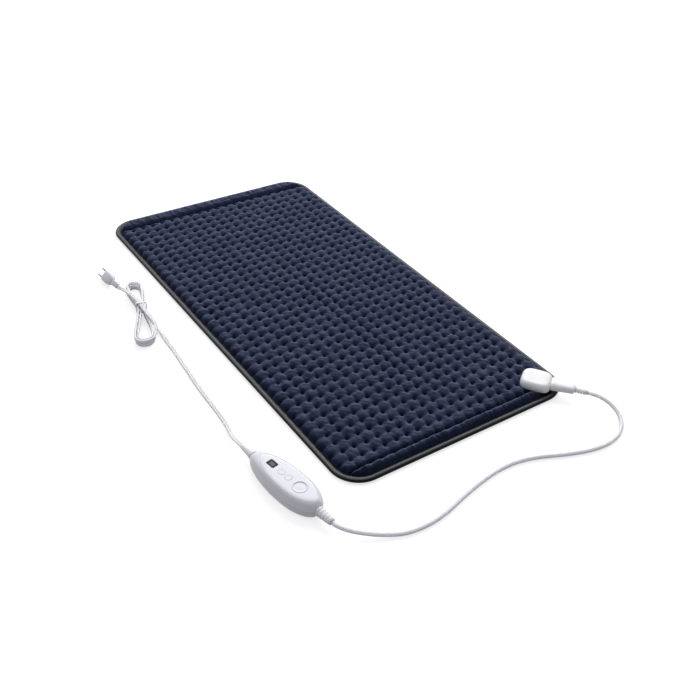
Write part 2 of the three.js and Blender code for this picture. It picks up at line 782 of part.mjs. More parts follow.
// Controller case. Its outline is given as [share of the length, share of the half width].
const CASE_SHAPE = [
  [-0.5, 0.31], [-0.44, 0.52], [-0.318, 0.75], [-0.12, 0.942], [0.098, 1],
  [0.281, 0.923], [0.412, 0.692], [0.478, 0.442], [0.5, 0.29],
];
const caseCurve = new THREE.SplineCurve(CASE_SHAPE.map(([along, across]) => new THREE.Vector2(
  along * CASE_LENGTH, across * CASE_WIDTH / 2)));
const caseSide = caseCurve.getPoints(2 * (CASE_SHAPE.length - 1));

// Outline drawn in by an inset, and pulled further in at the mains end, where the top slopes.
function caseOutline(inset, pull) {
  const half = CASE_LENGTH / 2;
  const side = caseSide.map((point) => {
    const slope = Math.max(-point.x / half, 0) ** 2;
    return new THREE.Vector2(point.x * (1 - inset / half) + pull * slope, point.y - inset);
  });
  const other = side.map((point) => new THREE.Vector2(point.x, -point.y)).reverse();
  return [...side, ...other];
}

function caseRings(levels) {
  return levels.map(([z, inset, pull]) => levelRing(caseOutline(inset, pull), z));
}

const roofUnder = CASE_HEIGHT - CASE_ROOF;
const panelInset = CASE_TOP_INSET + PANEL_MARGIN;
const panelPull = CASE_TOP_PULL + PANEL_MARGIN;
const panelTop = CASE_HEIGHT + 0.1;
const panelBottom = panelTop - PANEL_THICKNESS;
const boardBottom = CASE_PARTING + BOARD_LIFT;
const boardTop = boardBottom + BOARD_THICKNESS;
const partBottom = boardTop + GAP;
const padScrewX = CASE_LENGTH / 2 - CASE_SCREW_PAD_INSET;
const caseScrews = [
  [CASE_SCREW_MAINS_INSET - CASE_LENGTH / 2, 0],
  [padScrewX, CASE_SCREW_SPACING / 2],
  [padScrewX, -CASE_SCREW_SPACING / 2],
];
const buttons = [
  ['temp', TEMP_BUTTON_X, SMALL_BUTTON_DIAMETER / 2, SMALL_BUTTON_RISE],
  ['timer', TIMER_BUTTON_X, SMALL_BUTTON_DIAMETER / 2, SMALL_BUTTON_RISE],
  ['power', POWER_BUTTON_X, POWER_BUTTON_DIAMETER / 2, POWER_BUTTON_RISE],
];
const windowOutline = roundedOutline(WINDOW_LENGTH, WINDOW_WIDTH, 1.6, 3);
const windowOpening = roundedOutline(WINDOW_LENGTH + 2 * GAP, WINDOW_WIDTH + 2 * GAP, 1.6 + GAP, 3);
const faceOpenings = [
  prism(windowOpening, CASE_PARTING, CASE_HEIGHT + 5, WINDOW_X),
  ...buttons.map(([, x, radius]) => turnedUpright(
    rod(CASE_PARTING + 8, CASE_HEIGHT + 5, radius + GAP), 24, x)),
];
const neckHole = turnedLevel(
  rod(-CASE_LENGTH, CASE_LENGTH, RELIEF_NECK_DIAMETER / 2 + GAP), 14, 0, CASE_PARTING);
const screwRadius = CASE_SCREW_DIAMETER / 2;
const screwSeat = CASE_FLOOR + 0.7;

// Level, inset and pull up the side, from shares of the upper height, the top's inset and its pull.
function upperSide([height, inset, pull]) {
  const z = CASE_PARTING + height * (CASE_HEIGHT - CASE_PARTING);
  return [z, inset * CASE_TOP_INSET, pull * CASE_TOP_PULL];
}

// The same down the lower side, from shares of the parting's height and the bottom's inset.
function lowerSide([height, inset]) {
  return [height * CASE_PARTING, inset * CASE_BOTTOM_INSET, 0];
}

const roofShare = (roofUnder - CASE_PARTING) / (CASE_HEIGHT - CASE_PARTING);
const upperHollow = carve(
  loft(caseRings([
    [CASE_PARTING + GAP / 2, 0, 0],
    ...[[0.45, 0.125, 0.06], [0.72, 0.33, 0.31], [0.9, 0.67, 0.62], [1, 1, 1]].map(upperSide),
  ])),
  {
    cut: [loft(caseRings([
      [CASE_PARTING - 1, CASE_WALL, 0],
      ...[[0.45, 0.125, 0.1], [0.69, 0.33, 0.38], [roofShare, 0.83, 0.75]].map(upperSide)
        .map(([z, inset, pull]) => [z, inset + CASE_WALL, pull]),
    ]))],
  },
);
piece(controller, 'controller_upper_shell', carve(upperHollow, {
  add: caseScrews.map(([x, y]) => turnedUpright(
    rod(CASE_PARTING + GAP / 2, roofUnder + 0.6, CASE_POST_DIAMETER / 2), 12, x, y)),
  cut: [
    neckHole,
    ...faceOpenings,
    prism(caseOutline(panelInset - GAP, panelPull), panelBottom - GAP, CASE_HEIGHT + 5),
    ...caseScrews.map(([x, y]) => turnedUpright(
      rod(0, screwSeat + CASE_SCREW_LENGTH - GAP, screwRadius + GAP), 8, x, y)),
  ],
}), 0xf0f0f3, 0.4);

const pegX = BOARD_LENGTH / 2 - BOARD_PEG_INSET;
const pegY = BOARD_WIDTH / 2 - BOARD_PEG_INSET;
const pegs = [[-1, -1], [-1, 1], [1, -1], [1, 1]].map(([x, y]) => [BOARD_X + x * pegX, y * pegY]);
const lowerHollow = carve(
  loft(caseRings([
    ...[[0, 1], [0.06, 0.7], [0.22, 0.33], [0.6, 0.05]].map(lowerSide), [CASE_PARTING - GAP / 2, 0, 0],
  ])),
  {
    cut: [loft(caseRings([
      [CASE_FLOOR, CASE_BOTTOM_INSET + CASE_WALL / 2, 0],
      ...[[0.37, 0.27], [0.67, 0.05]].map(lowerSide).map(([z, inset]) => [z, inset + CASE_WALL, 0]),
      [CASE_PARTING + 1, CASE_WALL, 0],
    ]))],
  },
);
piece(controller, 'controller_lower_shell', carve(lowerHollow, {
  add: [
    ...caseScrews.map(([x, y]) => turnedUpright(
      rod(CASE_FLOOR - 0.6, CASE_PARTING - GAP / 2, CASE_POST_DIAMETER / 2 + 1), 12, x, y)),
    ...pegs.map(([x, y]) => turnedUpright(
      rod(CASE_FLOOR - 0.6, boardBottom - GAP, BOARD_PEG_DIAMETER / 2), 8, x, y)),
  ],
  cut: [
    neckHole,
    ...caseScrews.flatMap(([x, y]) => [
      turnedUpright(rod(-1, screwSeat, CASE_SCREW_HEAD / 2 + GAP), 12, x, y),
      turnedUpright(rod(0, CASE_PARTING + 1, screwRadius + GAP), 8, x, y),
    ]),
  ],
}), 0xe9e9ec, 0.45);

caseScrews.forEach(([x, y], k) => {
  const headTop = screwSeat - GAP;
  const tip = headTop + CASE_SCREW_LENGTH - GAP;
  piece(controller, `case_screw_${k + 1}`, turnedUpright([
    [headTop - 2, 0], [headTop - 2, CASE_SCREW_HEAD / 2], [headTop, CASE_SCREW_HEAD / 2],
    [headTop, screwRadius], [tip - 1, screwRadius], [tip, 0.4], [tip, 0],
  ], 10, x, y), 0xb9bcc0, 0.35, 1);
});

// Face: a thin panel let into the top, with a dark window over the display.
piece(controller, 'face_panel', carve(
  prism(caseOutline(panelInset, panelPull), panelBottom, panelTop),
  { cut: faceOpenings },
), 0xe8e8ec, 0.4);

const windowTop = CASE_HEIGHT - 0.1;
const windowBottom = windowTop - WINDOW_THICKNESS;
piece(controller, 'display_window', prism(
  windowOutline, windowBottom, windowTop, WINDOW_X), 0x0c0c10, 0.15);
piece(controller, 'led_display', block(
  WINDOW_X - WINDOW_LENGTH / 2 + 0.8, WINDOW_X + WINDOW_LENGTH / 2 - 0.8, WINDOW_WIDTH - 1.6,
  partBottom, windowBottom - GAP), 0x1c1c1e, 0.5);

// Buttons: a cap held under the roof by a flange, a stem, and the switch plunger below it.
const switchTop = partBottom + SWITCH_HEIGHT;
const plungerTop = switchTop + PLUNGER_RISE;
const plungerBottom = plungerTop - PLUNGER_LENGTH;
const flangeTop = roofUnder - BUTTON_PLAY;
for (const [name, x, radius, rise] of buttons) {
  const flangeBottom = flangeTop - BUTTON_FLANGE;
  const crown = CASE_HEIGHT + rise;
  piece(controller, `${name}_button`, turnedUpright([
    [plungerTop + GAP, 0], [plungerTop + GAP, BUTTON_STEM_DIAMETER / 2],
    [flangeBottom, BUTTON_STEM_DIAMETER / 2], [flangeBottom, radius + BUTTON_LIP],
    [flangeTop, radius + BUTTON_LIP], [flangeTop, radius], [crown - 0.5, radius],
    [crown, 0.93 * radius], [crown - 0.1, 0.8 * radius], [crown - 0.45, 0.45 * radius],
    [crown - 0.55, 0],
  ], 24, x), 0xeeeef1, 0.4);
  piece(controller, `${name}_switch`, carve(
    block(x - SWITCH_SIDE / 2, x + SWITCH_SIDE / 2, SWITCH_SIDE, partBottom, switchTop),
    {
      cut: [turnedUpright(
        rod(plungerBottom - BUTTON_TRAVEL - 2 * GAP, switchTop + 1, PLUNGER_DIAMETER / 2 + GAP), 10, x)],
    },
  ), 0x2a2a2c, 0.6);
  piece(controller, `${name}_plunger`, turnedUpright(
    rod(plungerBottom, plungerTop, PLUNGER_DIAMETER / 2), 10, x), 0x111113, 0.6);
}

// Circuit board and the parts on it.
piece(controller, 'circuit_board', prism(
  roundedOutline(BOARD_LENGTH, BOARD_WIDTH, 3, 2), boardBottom, boardTop, BOARD_X), 0x2f6b43, 0.6);
piece(controller, 'control_chip', block(-19, -10, 7, partBottom, partBottom + 1.8, 10.5), 0x161618, 0.5);
piece(controller, 'fuse', turnedLevel(
  rod(-7, -7 + FUSE_LENGTH, FUSE_DIAMETER / 2), 10, 11.5, partBottom + FUSE_DIAMETER / 2), 0xd6dcdc, 0.3);
piece(controller, 'dropper_capacitor', block(-9, 7, 6, partBottom, partBottom + 6.2, -11.8), 0xb5342c, 0.5);
piece(controller, 'triac', block(20, 30, 9, partBottom, partBottom + 4.4, -10.5), 0x1a1a1c, 0.6);

// Strain reliefs, clamped by a collar inside the case.
const padEnd = CASE_LENGTH / 2;
const padReliefEnd = padEnd + GAP + PAD_RELIEF_LENGTH;
const neckRadius = RELIEF_NECK_DIAMETER / 2;
const collarRadius = RELIEF_COLLAR_DIAMETER / 2;
piece(controller, 'pad_end_strain_relief', turnedLevel([
  [padEnd - RELIEF_COLLAR_SEAT - 1.6, 0], [padEnd - RELIEF_COLLAR_SEAT - 1.6, collarRadius],
  [padEnd - RELIEF_COLLAR_SEAT, collarRadius], [padEnd - RELIEF_COLLAR_SEAT, neckRadius],
  [padEnd + GAP, neckRadius],
  ...ribs(padEnd + GAP, PAD_RELIEF_LENGTH, 5, PAD_RELIEF_DIAMETER / 2, PAD_RELIEF_TAIL / 2),
  [padReliefEnd, 0],
], 10, 0, CASE_PARTING), 0xe2e2e6, 0.5);

const mainsEnd = -CASE_LENGTH / 2;
const mainsReliefEnd = mainsEnd - GAP - MAINS_RELIEF_LENGTH;
piece(controller, 'mains_end_strain_relief', turnedLevel([
  [mainsEnd + RELIEF_COLLAR_SEAT + 1.6, 0], [mainsEnd + RELIEF_COLLAR_SEAT + 1.6, collarRadius],
  [mainsEnd + RELIEF_COLLAR_SEAT, collarRadius], [mainsEnd + RELIEF_COLLAR_SEAT, neckRadius],
  [mainsEnd - GAP, neckRadius], [mainsEnd - GAP, MAINS_RELIEF_DIAMETER / 2],
  [mainsEnd - GAP - 0.35 * MAINS_RELIEF_LENGTH, MAINS_RELIEF_WAIST / 2],
  [mainsReliefEnd + 1, MAINS_RELIEF_TAIL / 2], [mainsReliefEnd, MAINS_RELIEF_TAIL / 2 - 0.4],
  [mainsReliefEnd, 0],
], 16, 0, CASE_PARTING), 0xebebee, 0.45);

// Pad lead: from the connector round to the controller, through points chosen by eye.
const leadStart = [0, LEAD_DIAMETER].map((out) => new THREE.Vector3(
  leadOut + GAP + out, 0, axisLevel).applyMatrix4(socket.matrix));
const leadEnd = [LEAD_DIAMETER, 0].map((out) => new THREE.Vector3(
  padReliefEnd + GAP + out, 0, CASE_PARTING).applyMatrix4(controller.matrix));
const LEAD_POINTS = [
  [466, 229.2, 16.8], [482, 235.4, 12.4], [501, 234.5, 7.4], [520, 222, 4.4], [533.5, 200, 3.6],
  [539, 172, 3.5], [535, 138, 3.5], [522, 99, 3.5], [505.5, 60, 3.5], [497, 27, 3.5],
  [495.8, -7, 3.5], [500.8, -45, 3.5], [511, -90, 3.5], [520.5, -126, 3.5], [524.2, -160, 3.5],
  [520.5, -193, 3.8], [508.5, -220, 4.8], [495, -242, 7.4], [482, -259.5, 11.2],
];
const leadCurve = new THREE.CatmullRomCurve3([
  ...leadStart, ...LEAD_POINTS.map(([x, y, z]) => new THREE.Vector3(x, y, z)), ...leadEnd,
], false, 'centripetal');
piece(cords, 'pad_lead', new THREE.ExtrudeGeometry(
  new THREE.Shape(superellipse(LEAD_DIAMETER, LEAD_DIAMETER, 2, 8)),
  { steps: 44, extrudePath: leadCurve },
), 0xdedee3, 0.5);

// Mains cord. The hank is a bow of turns on edge, wound inward on the lower layer and outward on
// the upper one. Its frame has u along the bow towards the plug and v across it.
const edgeLevel = CORD_FLOOR_GAP + CORD_WIDTH / 2;
const layerRise = CORD_WIDTH + HANK_LAYER_GAP;
const crossLevel = edgeLevel + layerRise + CORD_WIDTH / 2 + 0.5 + CORD_THICKNESS / 2;
const tieLift = TIE_THICKNESS + TIE_SLACK + CORD_FLOOR_GAP;
const waistHalf = 1.75 * HANK_PITCH;

function hankPlace(u, v, z) {
  const [c, s] = [Math.cos(radians(HANK_HEADING)), Math.sin(radians(HANK_HEADING))];
  const across = v - HANK_BOW * u * u;
  const lift = tieLift * Math.exp(-((u / 16) ** 2));
  return new THREE.Vector3(HANK_X + u * c + across * s, HANK_Y + u * s - across * c, z + lift);
}

function restLevel(roll) {
  return CORD_FLOOR_GAP + CORD_WIDTH / 2 * Math.sin(roll) + CORD_THICKNESS / 2 * Math.cos(roll);
}

function hankStations() {
  const stations = [];
  const rolls = [];
  function add(u, v, z, roll) {
    stations.push(hankPlace(u, v, z));
    rolls.push(roll);
  }
  for (const u of [-100, -92.8, -80, -66, -52, -38, -25, -12]) {
    const roll = 0.5 * Math.PI * smooth((u + 90) / 48);
    add(u, waistHalf + 0.36 * (Math.hypot(u, 25) - 25), restLevel(roll), roll);
  }
  const runSteps = [0, 0.14, 0.28, 0.4, 0.44, 0.48, 0.52, 0.56, 0.6, 0.72, 0.86];
  for (let half = 0; half < 2 * HANK_TURNS; half++) {
    const upper = half % 2 === 0;
    const way = upper ? 1 : -1;
    const run = upper ? HANK_UPPER_RUN : HANK_LOWER_RUN;
    const radius = upper ? HANK_UPPER_RADIUS : HANK_LOWER_RADIUS;
    const steps = half < 2 * HANK_TURNS - 1 ? runSteps : runSteps.slice(0, 9);
    for (const step of steps) {
      const turn = (half + step) / 2;
      const inset = HANK_PITCH * Math.min(turn, HANK_TURNS - turn);
      const z = edgeLevel + layerRise * smooth((turn - HANK_TURNS / 2 + 0.08) / 0.16);
      const angle = Math.PI * (step - 0.4) / 0.2;
      if (step >= 0.4 && step <= 0.6) {
        add(way * (run + (radius - inset) * Math.sin(angle)), way * (radius - inset) * Math.cos(angle),
          z, Math.PI / 2);
      } else {
        const share = step < 0.4 ? step / 0.4 : (1 - step) / 0.4;
        const side = step < 0.4 ? way : -way;
        const across = waistHalf - inset + (radius - waistHalf) * smooth(share);
        add(way * run * share, side * across, z, Math.PI / 2);
      }
    }
  }
  const top = edgeLevel + layerRise;
  const crossing = [
    [-78, 18.2, top + 0.4, 82], [-66, 18.6, top + 3, 50], [-54, 16.2, top + 5.6, 12],
    [-42, 12, crossLevel + 0.4, 0], [-28, 7.2, crossLevel + 0.3, 0], [-14, 2.9, crossLevel + 0.1, 0],
    [0, -0.8, crossLevel, 0], [7, -2.6, crossLevel, 0], [14, -4.5, crossLevel, 0],
  ];
  for (const [u, v, z, roll] of crossing) {
    add(u, v, z, radians(roll));
  }
  return [stations, rolls];
}

const [hankPath, hankRolls] = hankStations();
piece(cords, 'mains_hank', flatCord(hankPath, hankRolls, 6), 0xe4e4ea, 0.5);

// Least clear distance between points on stretches of the hank that aren't next to each other.
function leastGap(stations, rolls) {
  const frames = new Route(stations, rolls).computeFrenetFrames();
  const outline = flatCordShape(6).getSpacedPoints(24);
  const rings = stations.map((station, i) => outline.map((point) => station.clone()
    .addScaledVector(frames.normals[i], point.x).addScaledVector(frames.binormals[i], point.y)));
  const points = [];
  let along = 0;
  for (let i = 0; i + 1 < rings.length; i++) {
    const span = stations[i].distanceTo(stations[i + 1]);
    for (let k = 0; k < 6; k++) {
      rings[i].forEach((point, j) => {
        points.push([point.clone().lerp(rings[i + 1][j], k / 6), along + span * k / 6]);
      });
    }
    along += span;
  }
  let least = Infinity;
  for (let i = 0; i < points.length; i++) {
    for (let j = i + 1; j < points.length; j++) {
      if (points[j][1] - points[i][1] > 30) {
        least = Math.min(least, points[i][0].distanceToSquared(points[j][0]));
      }
    }
  }
  return [Math.sqrt(least), along];
}

const [hankGap, hankLength] = leastGap(hankPath, hankRolls);
console.log(`mains_hank least gap to itself ${hankGap.toFixed(2)} mm, length ${hankLength.toFixed(0)} mm`);

// Mains lead: from the controller down to the floor and along it to the hank.
const MAINS_POINTS = [
  [256, -301.8, 11.6], [243, -300, 8.4], [230, -297, 5.2], [212, -293.2, 2.6], [188, -290.9, 1.9],
  [160, -289.8, 1.9], [130, -289, 1.9], [105, -287.6, 1.9], [75, -285.2, 1.9], [42, -282.4, 1.9],
  [10, -279.9, 1.9],
];
const mainsStart = [0, CORD_WIDTH].map((out) => new THREE.Vector3(
  mainsReliefEnd - GAP - out, 0, CASE_PARTING).applyMatrix4(controller.matrix));
const hankHeading = hankPath[1].clone().sub(hankPath[0]).normalize();
const mainsEndPoint = hankPath[0].clone().addScaledVector(hankHeading, -GAP);
const mainsPath = [
  ...mainsStart, ...MAINS_POINTS.map(([x, y, z]) => new THREE.Vector3(x, y, z)),
  mainsEndPoint.clone().addScaledVector(hankHeading, -CORD_WIDTH), mainsEndPoint,
];
piece(cords, 'mains_lead', flatCord(mainsPath, mainsPath.map(() => 0), 8), 0xe2e2e8, 0.5);

// Cable tie: a band round every strand at the hank's waist.
const strandReach = waistHalf + CORD_THICKNESS / 2 + TIE_SLACK;
const tieLeft = -(waistHalf - HANK_PITCH / 2 + CORD_THICKNESS / 2 + TIE_SLACK) - 0.6;
const tieInnerWidth = strandReach - tieLeft;
const tieTop = crossLevel + tieLift + CORD_THICKNESS / 2 + TIE_SLACK;
const tieInnerHeight = tieTop - CORD_FLOOR_GAP - TIE_THICKNESS;
const tieBand = new THREE.Shape(roundedOutline(
  tieInnerWidth + 2 * TIE_THICKNESS, tieInnerHeight + 2 * TIE_THICKNESS, 2, 3));
tieBand.holes.push(new THREE.Path(roundedOutline(tieInnerWidth, tieInnerHeight, 0.8, 3)));
const tie = new THREE.ExtrudeGeometry(tieBand, {
  depth: TIE_WIDTH, bevelEnabled: false, curveSegments: 1,
});
tie.translate((strandReach + tieLeft) / 2, tieTop - tieInnerHeight / 2, -TIE_WIDTH / 2);
tie.applyMatrix4(new THREE.Matrix4().makeBasis(
  new THREE.Vector3(Math.sin(radians(HANK_HEADING)), -Math.cos(radians(HANK_HEADING)), 0),
  new THREE.Vector3(0, 0, 1),
  new THREE.Vector3(-Math.cos(radians(HANK_HEADING)), -Math.sin(radians(HANK_HEADING)), 0),
).setPosition(HANK_X, HANK_Y, 0));
piece(cords, 'cable_tie', tie, 0xf4f4f4, 0.5);

// Plug: it lies tipped on a long edge. In its own frame x is the way the blades point and y is the
// line from blade to blade.
const plug = new THREE.Group();
plug.position.set(PLUG_X, PLUG_Y, PLUG_Z);
plug.rotation.set(radians(180 - PLUG_LEAN), 0, radians(PLUG_HEADING), 'ZYX');
object.add(plug);
plug.updateMatrix();

function plugRing(x, width, thickness) {
  return uprightRing(superellipse(width, thickness, 3, 16), x, 0);
}

function plugRings() {
  const rings = [
    plugRing(0, PLUG_WIDTH - 3, PLUG_THICKNESS - 3), plugRing(-1.2, PLUG_WIDTH - 1, PLUG_THICKNESS - 1),
    plugRing(-0.5 * PLUG_LENGTH, PLUG_WIDTH, PLUG_THICKNESS),
    plugRing(-0.82 * PLUG_LENGTH, PLUG_WIDTH - 3, PLUG_THICKNESS - 1.5),
    plugRing(-PLUG_LENGTH, PLUG_WIDTH - 9, PLUG_THICKNESS - 4.5),
  ];
  const pitch = PLUG_RELIEF_LENGTH / 3;
  for (let k = 0; k < 3; k++) {
    const start = -PLUG_LENGTH - k * pitch;
    const width = CORD_WIDTH + 3.4 - 0.7 * k;
    const thickness = CORD_THICKNESS + 3.2 - 0.5 * k;
    rings.push(plugRing(start - 0.4, width - 2.2, thickness - 1.8));
    rings.push(plugRing(start - 0.25 * pitch, width - 2.2, thickness - 1.8));
    rings.push(plugRing(start - 0.4 * pitch, width, thickness));
    rings.push(plugRing(start - 0.94 * pitch, width - 0.3, thickness - 0.3));
  }
  return rings;
}

const bladeSides = [-BLADE_SPACING / 2, BLADE_SPACING / 2];
piece(plug, 'plug_body', carve(loft(plugRings()), {
  cut: bladeSides.map((y) => block(-BLADE_ROOT - GAP, 5, BLADE_THICKNESS + 2 * GAP,
    -BLADE_WIDTH / 2 - GAP, BLADE_WIDTH / 2 + GAP, y)),
}), 0xefeff2, 0.4);

bladeSides.forEach((y, k) => {
  const half = BLADE_WIDTH / 2;
  const outline = new THREE.Shape([
    [-BLADE_ROOT, -half], [BLADE_REACH - 2, -half], [BLADE_REACH, -half + 1.4],
    [BLADE_REACH, half - 1.4], [BLADE_REACH - 2, half], [-BLADE_ROOT, half],
  ].map(([x, z]) => new THREE.Vector2(x, z)));
  outline.holes.push(new THREE.Path(superellipse(3.2, 3.2, 2, 10)
    .map((point) => new THREE.Vector2(point.x + BLADE_REACH - 4.6, point.y))));
  const blade = new THREE.ExtrudeGeometry(outline, { depth: BLADE_THICKNESS, bevelEnabled: false });
  blade.rotateX(Math.PI / 2).translate(0, y + BLADE_THICKNESS / 2, 0);
  piece(plug, `plug_blade_${k + 1}`, blade, 0xc4c6c9, 0.3, 1);
});

// Mains tail: from the hank's waist down to the back of the plug.
const plugBack = -PLUG_LENGTH - 0.98 * PLUG_RELIEF_LENGTH - GAP;
const hankEnd = hankPath[hankPath.length - 1];
const tailHeading = hankEnd.clone().sub(hankPath[hankPath.length - 2]).normalize();
const TAIL_POINTS = [
  [26, -8.7, 17.9, 0], [38, -13.9, 18, -6], [50, -18.4, 16, -18], [60, -21.6, 13, -32],
];
const tailStart = hankEnd.clone().addScaledVector(tailHeading, GAP);
const tailPath = [
  tailStart, ...TAIL_POINTS.map(([u, v, z]) => hankPlace(u, v, z)),
  new THREE.Vector3(plugBack - CORD_WIDTH, 0, 0).applyMatrix4(plug.matrix),
  new THREE.Vector3(plugBack, 0, 0).applyMatrix4(plug.matrix),
];
const tailRolls = [0, ...TAIL_POINTS.map((point) => point[3]), -PLUG_LEAN, -PLUG_LEAN].map(radians);
piece(cords, 'mains_tail', flatCord(tailPath, tailRolls, 8), 0xe2e2e8, 0.5);

export default object;
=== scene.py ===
import bpy
import bmesh
import numpy as np
from mathutils import Matrix


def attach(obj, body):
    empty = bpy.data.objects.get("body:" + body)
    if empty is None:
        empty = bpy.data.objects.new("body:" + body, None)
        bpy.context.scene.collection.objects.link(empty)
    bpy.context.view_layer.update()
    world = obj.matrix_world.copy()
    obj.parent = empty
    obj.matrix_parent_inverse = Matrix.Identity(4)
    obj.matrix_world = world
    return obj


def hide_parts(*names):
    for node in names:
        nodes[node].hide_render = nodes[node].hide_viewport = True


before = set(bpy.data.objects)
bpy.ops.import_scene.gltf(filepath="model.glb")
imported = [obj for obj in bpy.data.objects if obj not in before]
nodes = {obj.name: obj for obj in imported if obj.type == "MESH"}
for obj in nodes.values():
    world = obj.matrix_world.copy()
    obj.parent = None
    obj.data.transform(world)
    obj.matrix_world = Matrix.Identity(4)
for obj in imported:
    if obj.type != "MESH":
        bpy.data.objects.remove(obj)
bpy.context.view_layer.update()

# Viewpoint.
# A camera a little above the pad's near corner on the controller's side, looking along its length.
# Its place and lens come from fitting the pad's outline in perspective, with a small roll.
def stood(thing, right, up, back, place):
    """Stands a thing at a place in metres, with its own x, y and z along right, up and back."""
    rows = np.column_stack([right, up, back, place])
    thing.matrix_world = Matrix([*rows.tolist(), (0, 0, 0, 1)])
    bpy.context.scene.collection.objects.link(thing)


eye_place = np.array([1.13151, -0.75936, 0.92022])
azimuth, elevation, roll = np.radians([53.359, 36.917, 3.842])
back = np.array([
    np.sin(azimuth) * np.cos(elevation), -np.cos(azimuth) * np.cos(elevation), np.sin(elevation)])
level = np.array([np.cos(azimuth), np.sin(azimuth), 0])
upward = np.cross(back, level)
across = np.cos(roll) * level + np.sin(roll) * upward
tilted = -np.sin(roll) * level + np.cos(roll) * upward
eye = bpy.data.objects.new("viewpoint", bpy.data.cameras.new("viewpoint"))
eye.data.lens = 47.366
eye.data.sensor_width = 36
eye.data.clip_end = 50
stood(eye, across, tilted, back, eye_place)
bpy.context.scene.camera = eye
bpy.context.scene.view_settings.view_transform = "Standard"


# Floor and light.
# A plain white floor under a big soft lamp at the back, and a sky that is brighter on that side.
# The floor and sky are white to the camera, and the floor keeps the shadows.
class Shade:
    """A value in a material's nodes. The signs +, - and * on it, with a number or another value on
    either side, each add the Math node of that name."""

    def __init__(self, tree, end=None):
        self.tree, self.end = tree, end

    def node(self, kind, settings, inputs, output=0):
        """Adds a node: its settings first, then the values or links of its sockets."""
        added = self.tree.nodes.new(kind)
        for key, value in settings.items():
            setattr(added, key, value)
        for key, value in inputs.items():
            if isinstance(value, Shade):
                self.tree.links.new(value.end, added.inputs[key])
            else:
                added.inputs[key].default_value = value
        return Shade(self.tree, added.outputs[output]) if added.outputs else None

    def maths(self, operation, first, second):
        """One operation on two values."""
        return self.node("ShaderNodeMath", {"operation": operation}, {0: first, 1: second})

    def into(self, socket):
        """Feeds the value to a socket."""
        self.tree.links.new(self.end, socket)

    def __add__(self, other):
        return self.maths("ADD", self, other)

    def __sub__(self, other):
        return self.maths("SUBTRACT", self, other)

    def __rsub__(self, other):
        return self.maths("SUBTRACT", other, self)

    def __mul__(self, other):
        return self.maths("MULTIPLY", self, other)

    __radd__, __rmul__ = __add__, __mul__

    def eased(self, low, high):
        """Smooth step t t (3 - 2 t), where t goes from 0 at low to 1 at high."""
        return self.node(
            "ShaderNodeMapRange", {"interpolation_type": "SMOOTHSTEP"}, {0: self, 1: low, 2: high})


FLOOR_REACH, FLOOR_LEVEL = 9, -0.0004
floor_corners = np.array([[-1, -1], [1, -1], [1, 1], [-1, 1]]) * FLOOR_REACH
floor_mesh = bpy.data.meshes.new("floor")
floor_mesh.from_pydata(
    np.column_stack([floor_corners, np.full(4, FLOOR_LEVEL)]).tolist(), [], [(0, 1, 2, 3)])
floor = bpy.data.objects.new("floor", floor_mesh)
bpy.context.scene.collection.objects.link(floor)
floor_paint = bpy.data.materials.new("floor_paint")
floor_paint.use_nodes = True
floor_paint.node_tree.nodes.clear()
paint = Shade(floor_paint.node_tree)
seen = paint.node("ShaderNodeLightPath", {}, {}, "Is Camera Ray")
mirrored = paint.node("ShaderNodeLightPath", {}, {}, "Is Glossy Ray")
shown = paint.node("ShaderNodeMix", {"data_type": "RGBA"}, {
    0: seen, 6: (0.46, 0.46, 0.47, 1), 7: (0.55, 0.55, 0.55, 1)}, 2)
matt = paint.node("ShaderNodeBsdfDiffuse", {}, {"Color": shown})
lift = paint.node("ShaderNodeEmission", {}, {"Color": (1, 1, 1, 1), "Strength": (seen + mirrored) * 0.685})
both = paint.node("ShaderNodeAddShader", {}, {0: matt, 1: lift})
paint.node("ShaderNodeOutputMaterial", {}, {"Surface": both})
floor_mesh.materials.append(floor_paint)

sky = bpy.data.worlds.new("sky")
bpy.context.scene.world = sky
sky.use_nodes = True
sky.node_tree.nodes.clear()
air = Shade(sky.node_tree)
seen = air.node("ShaderNodeLightPath", {}, {}, "Is Camera Ray")
way = air.node("ShaderNodeTexCoord", {}, {}, "Generated")
behind = air.node("ShaderNodeVectorMath", {"operation": "DOT_PRODUCT"}, {
    0: way, 1: (-0.7, 0.36, 0.62)}, "Value")
fill = air.node("ShaderNodeBackground", {}, {
    "Color": (0.95, 0.95, 1, 1), "Strength": 0.24 + behind.eased(-0.3, 0.95) * 0.56})
white = air.node("ShaderNodeBackground", {}, {"Color": (1, 1, 1, 1), "Strength": 1})
shown = air.node("ShaderNodeMixShader", {}, {0: seen, 1: fill, 2: white})
air.node("ShaderNodeOutputWorld", {}, {"Surface": shown})


def unit(arrows):
    """Arrows of length 1: each divided by the root of the sum of its squares."""
    return arrows / np.linalg.norm(arrows, axis=-1, keepdims=True)


lamp_place = np.array([-1.2, 1.1, 1.6])
lamp = bpy.data.objects.new("soft_key", bpy.data.lights.new("soft_key", "AREA"))
lamp.data.size = 2
lamp.data.energy = 48
aim = -unit(lamp_place)
beside = unit(np.cross(aim, [0, 0, 1]))
stood(lamp, beside, np.cross(beside, aim), -aim, lamp_place)


# Pad lead.
# A round flexible lead in a pale jacket, from the connector's sleeve out on to the floor and back to
# the controller. It is extruded over its cores, and clamped in a ribbed sleeve at each end.
LEAD_DIAMETER = 6.6


def bearing(angle):
    """The arrow (cos, sin) of each angle."""
    return np.stack([np.cos(angle), np.sin(angle)], axis=-1)


def circle(radius, count):
    """Circle about the origin: the radius times the bearings of count even steps round."""
    return radius * bearing(np.linspace(0, 2 * np.pi, count, endpoint=False))


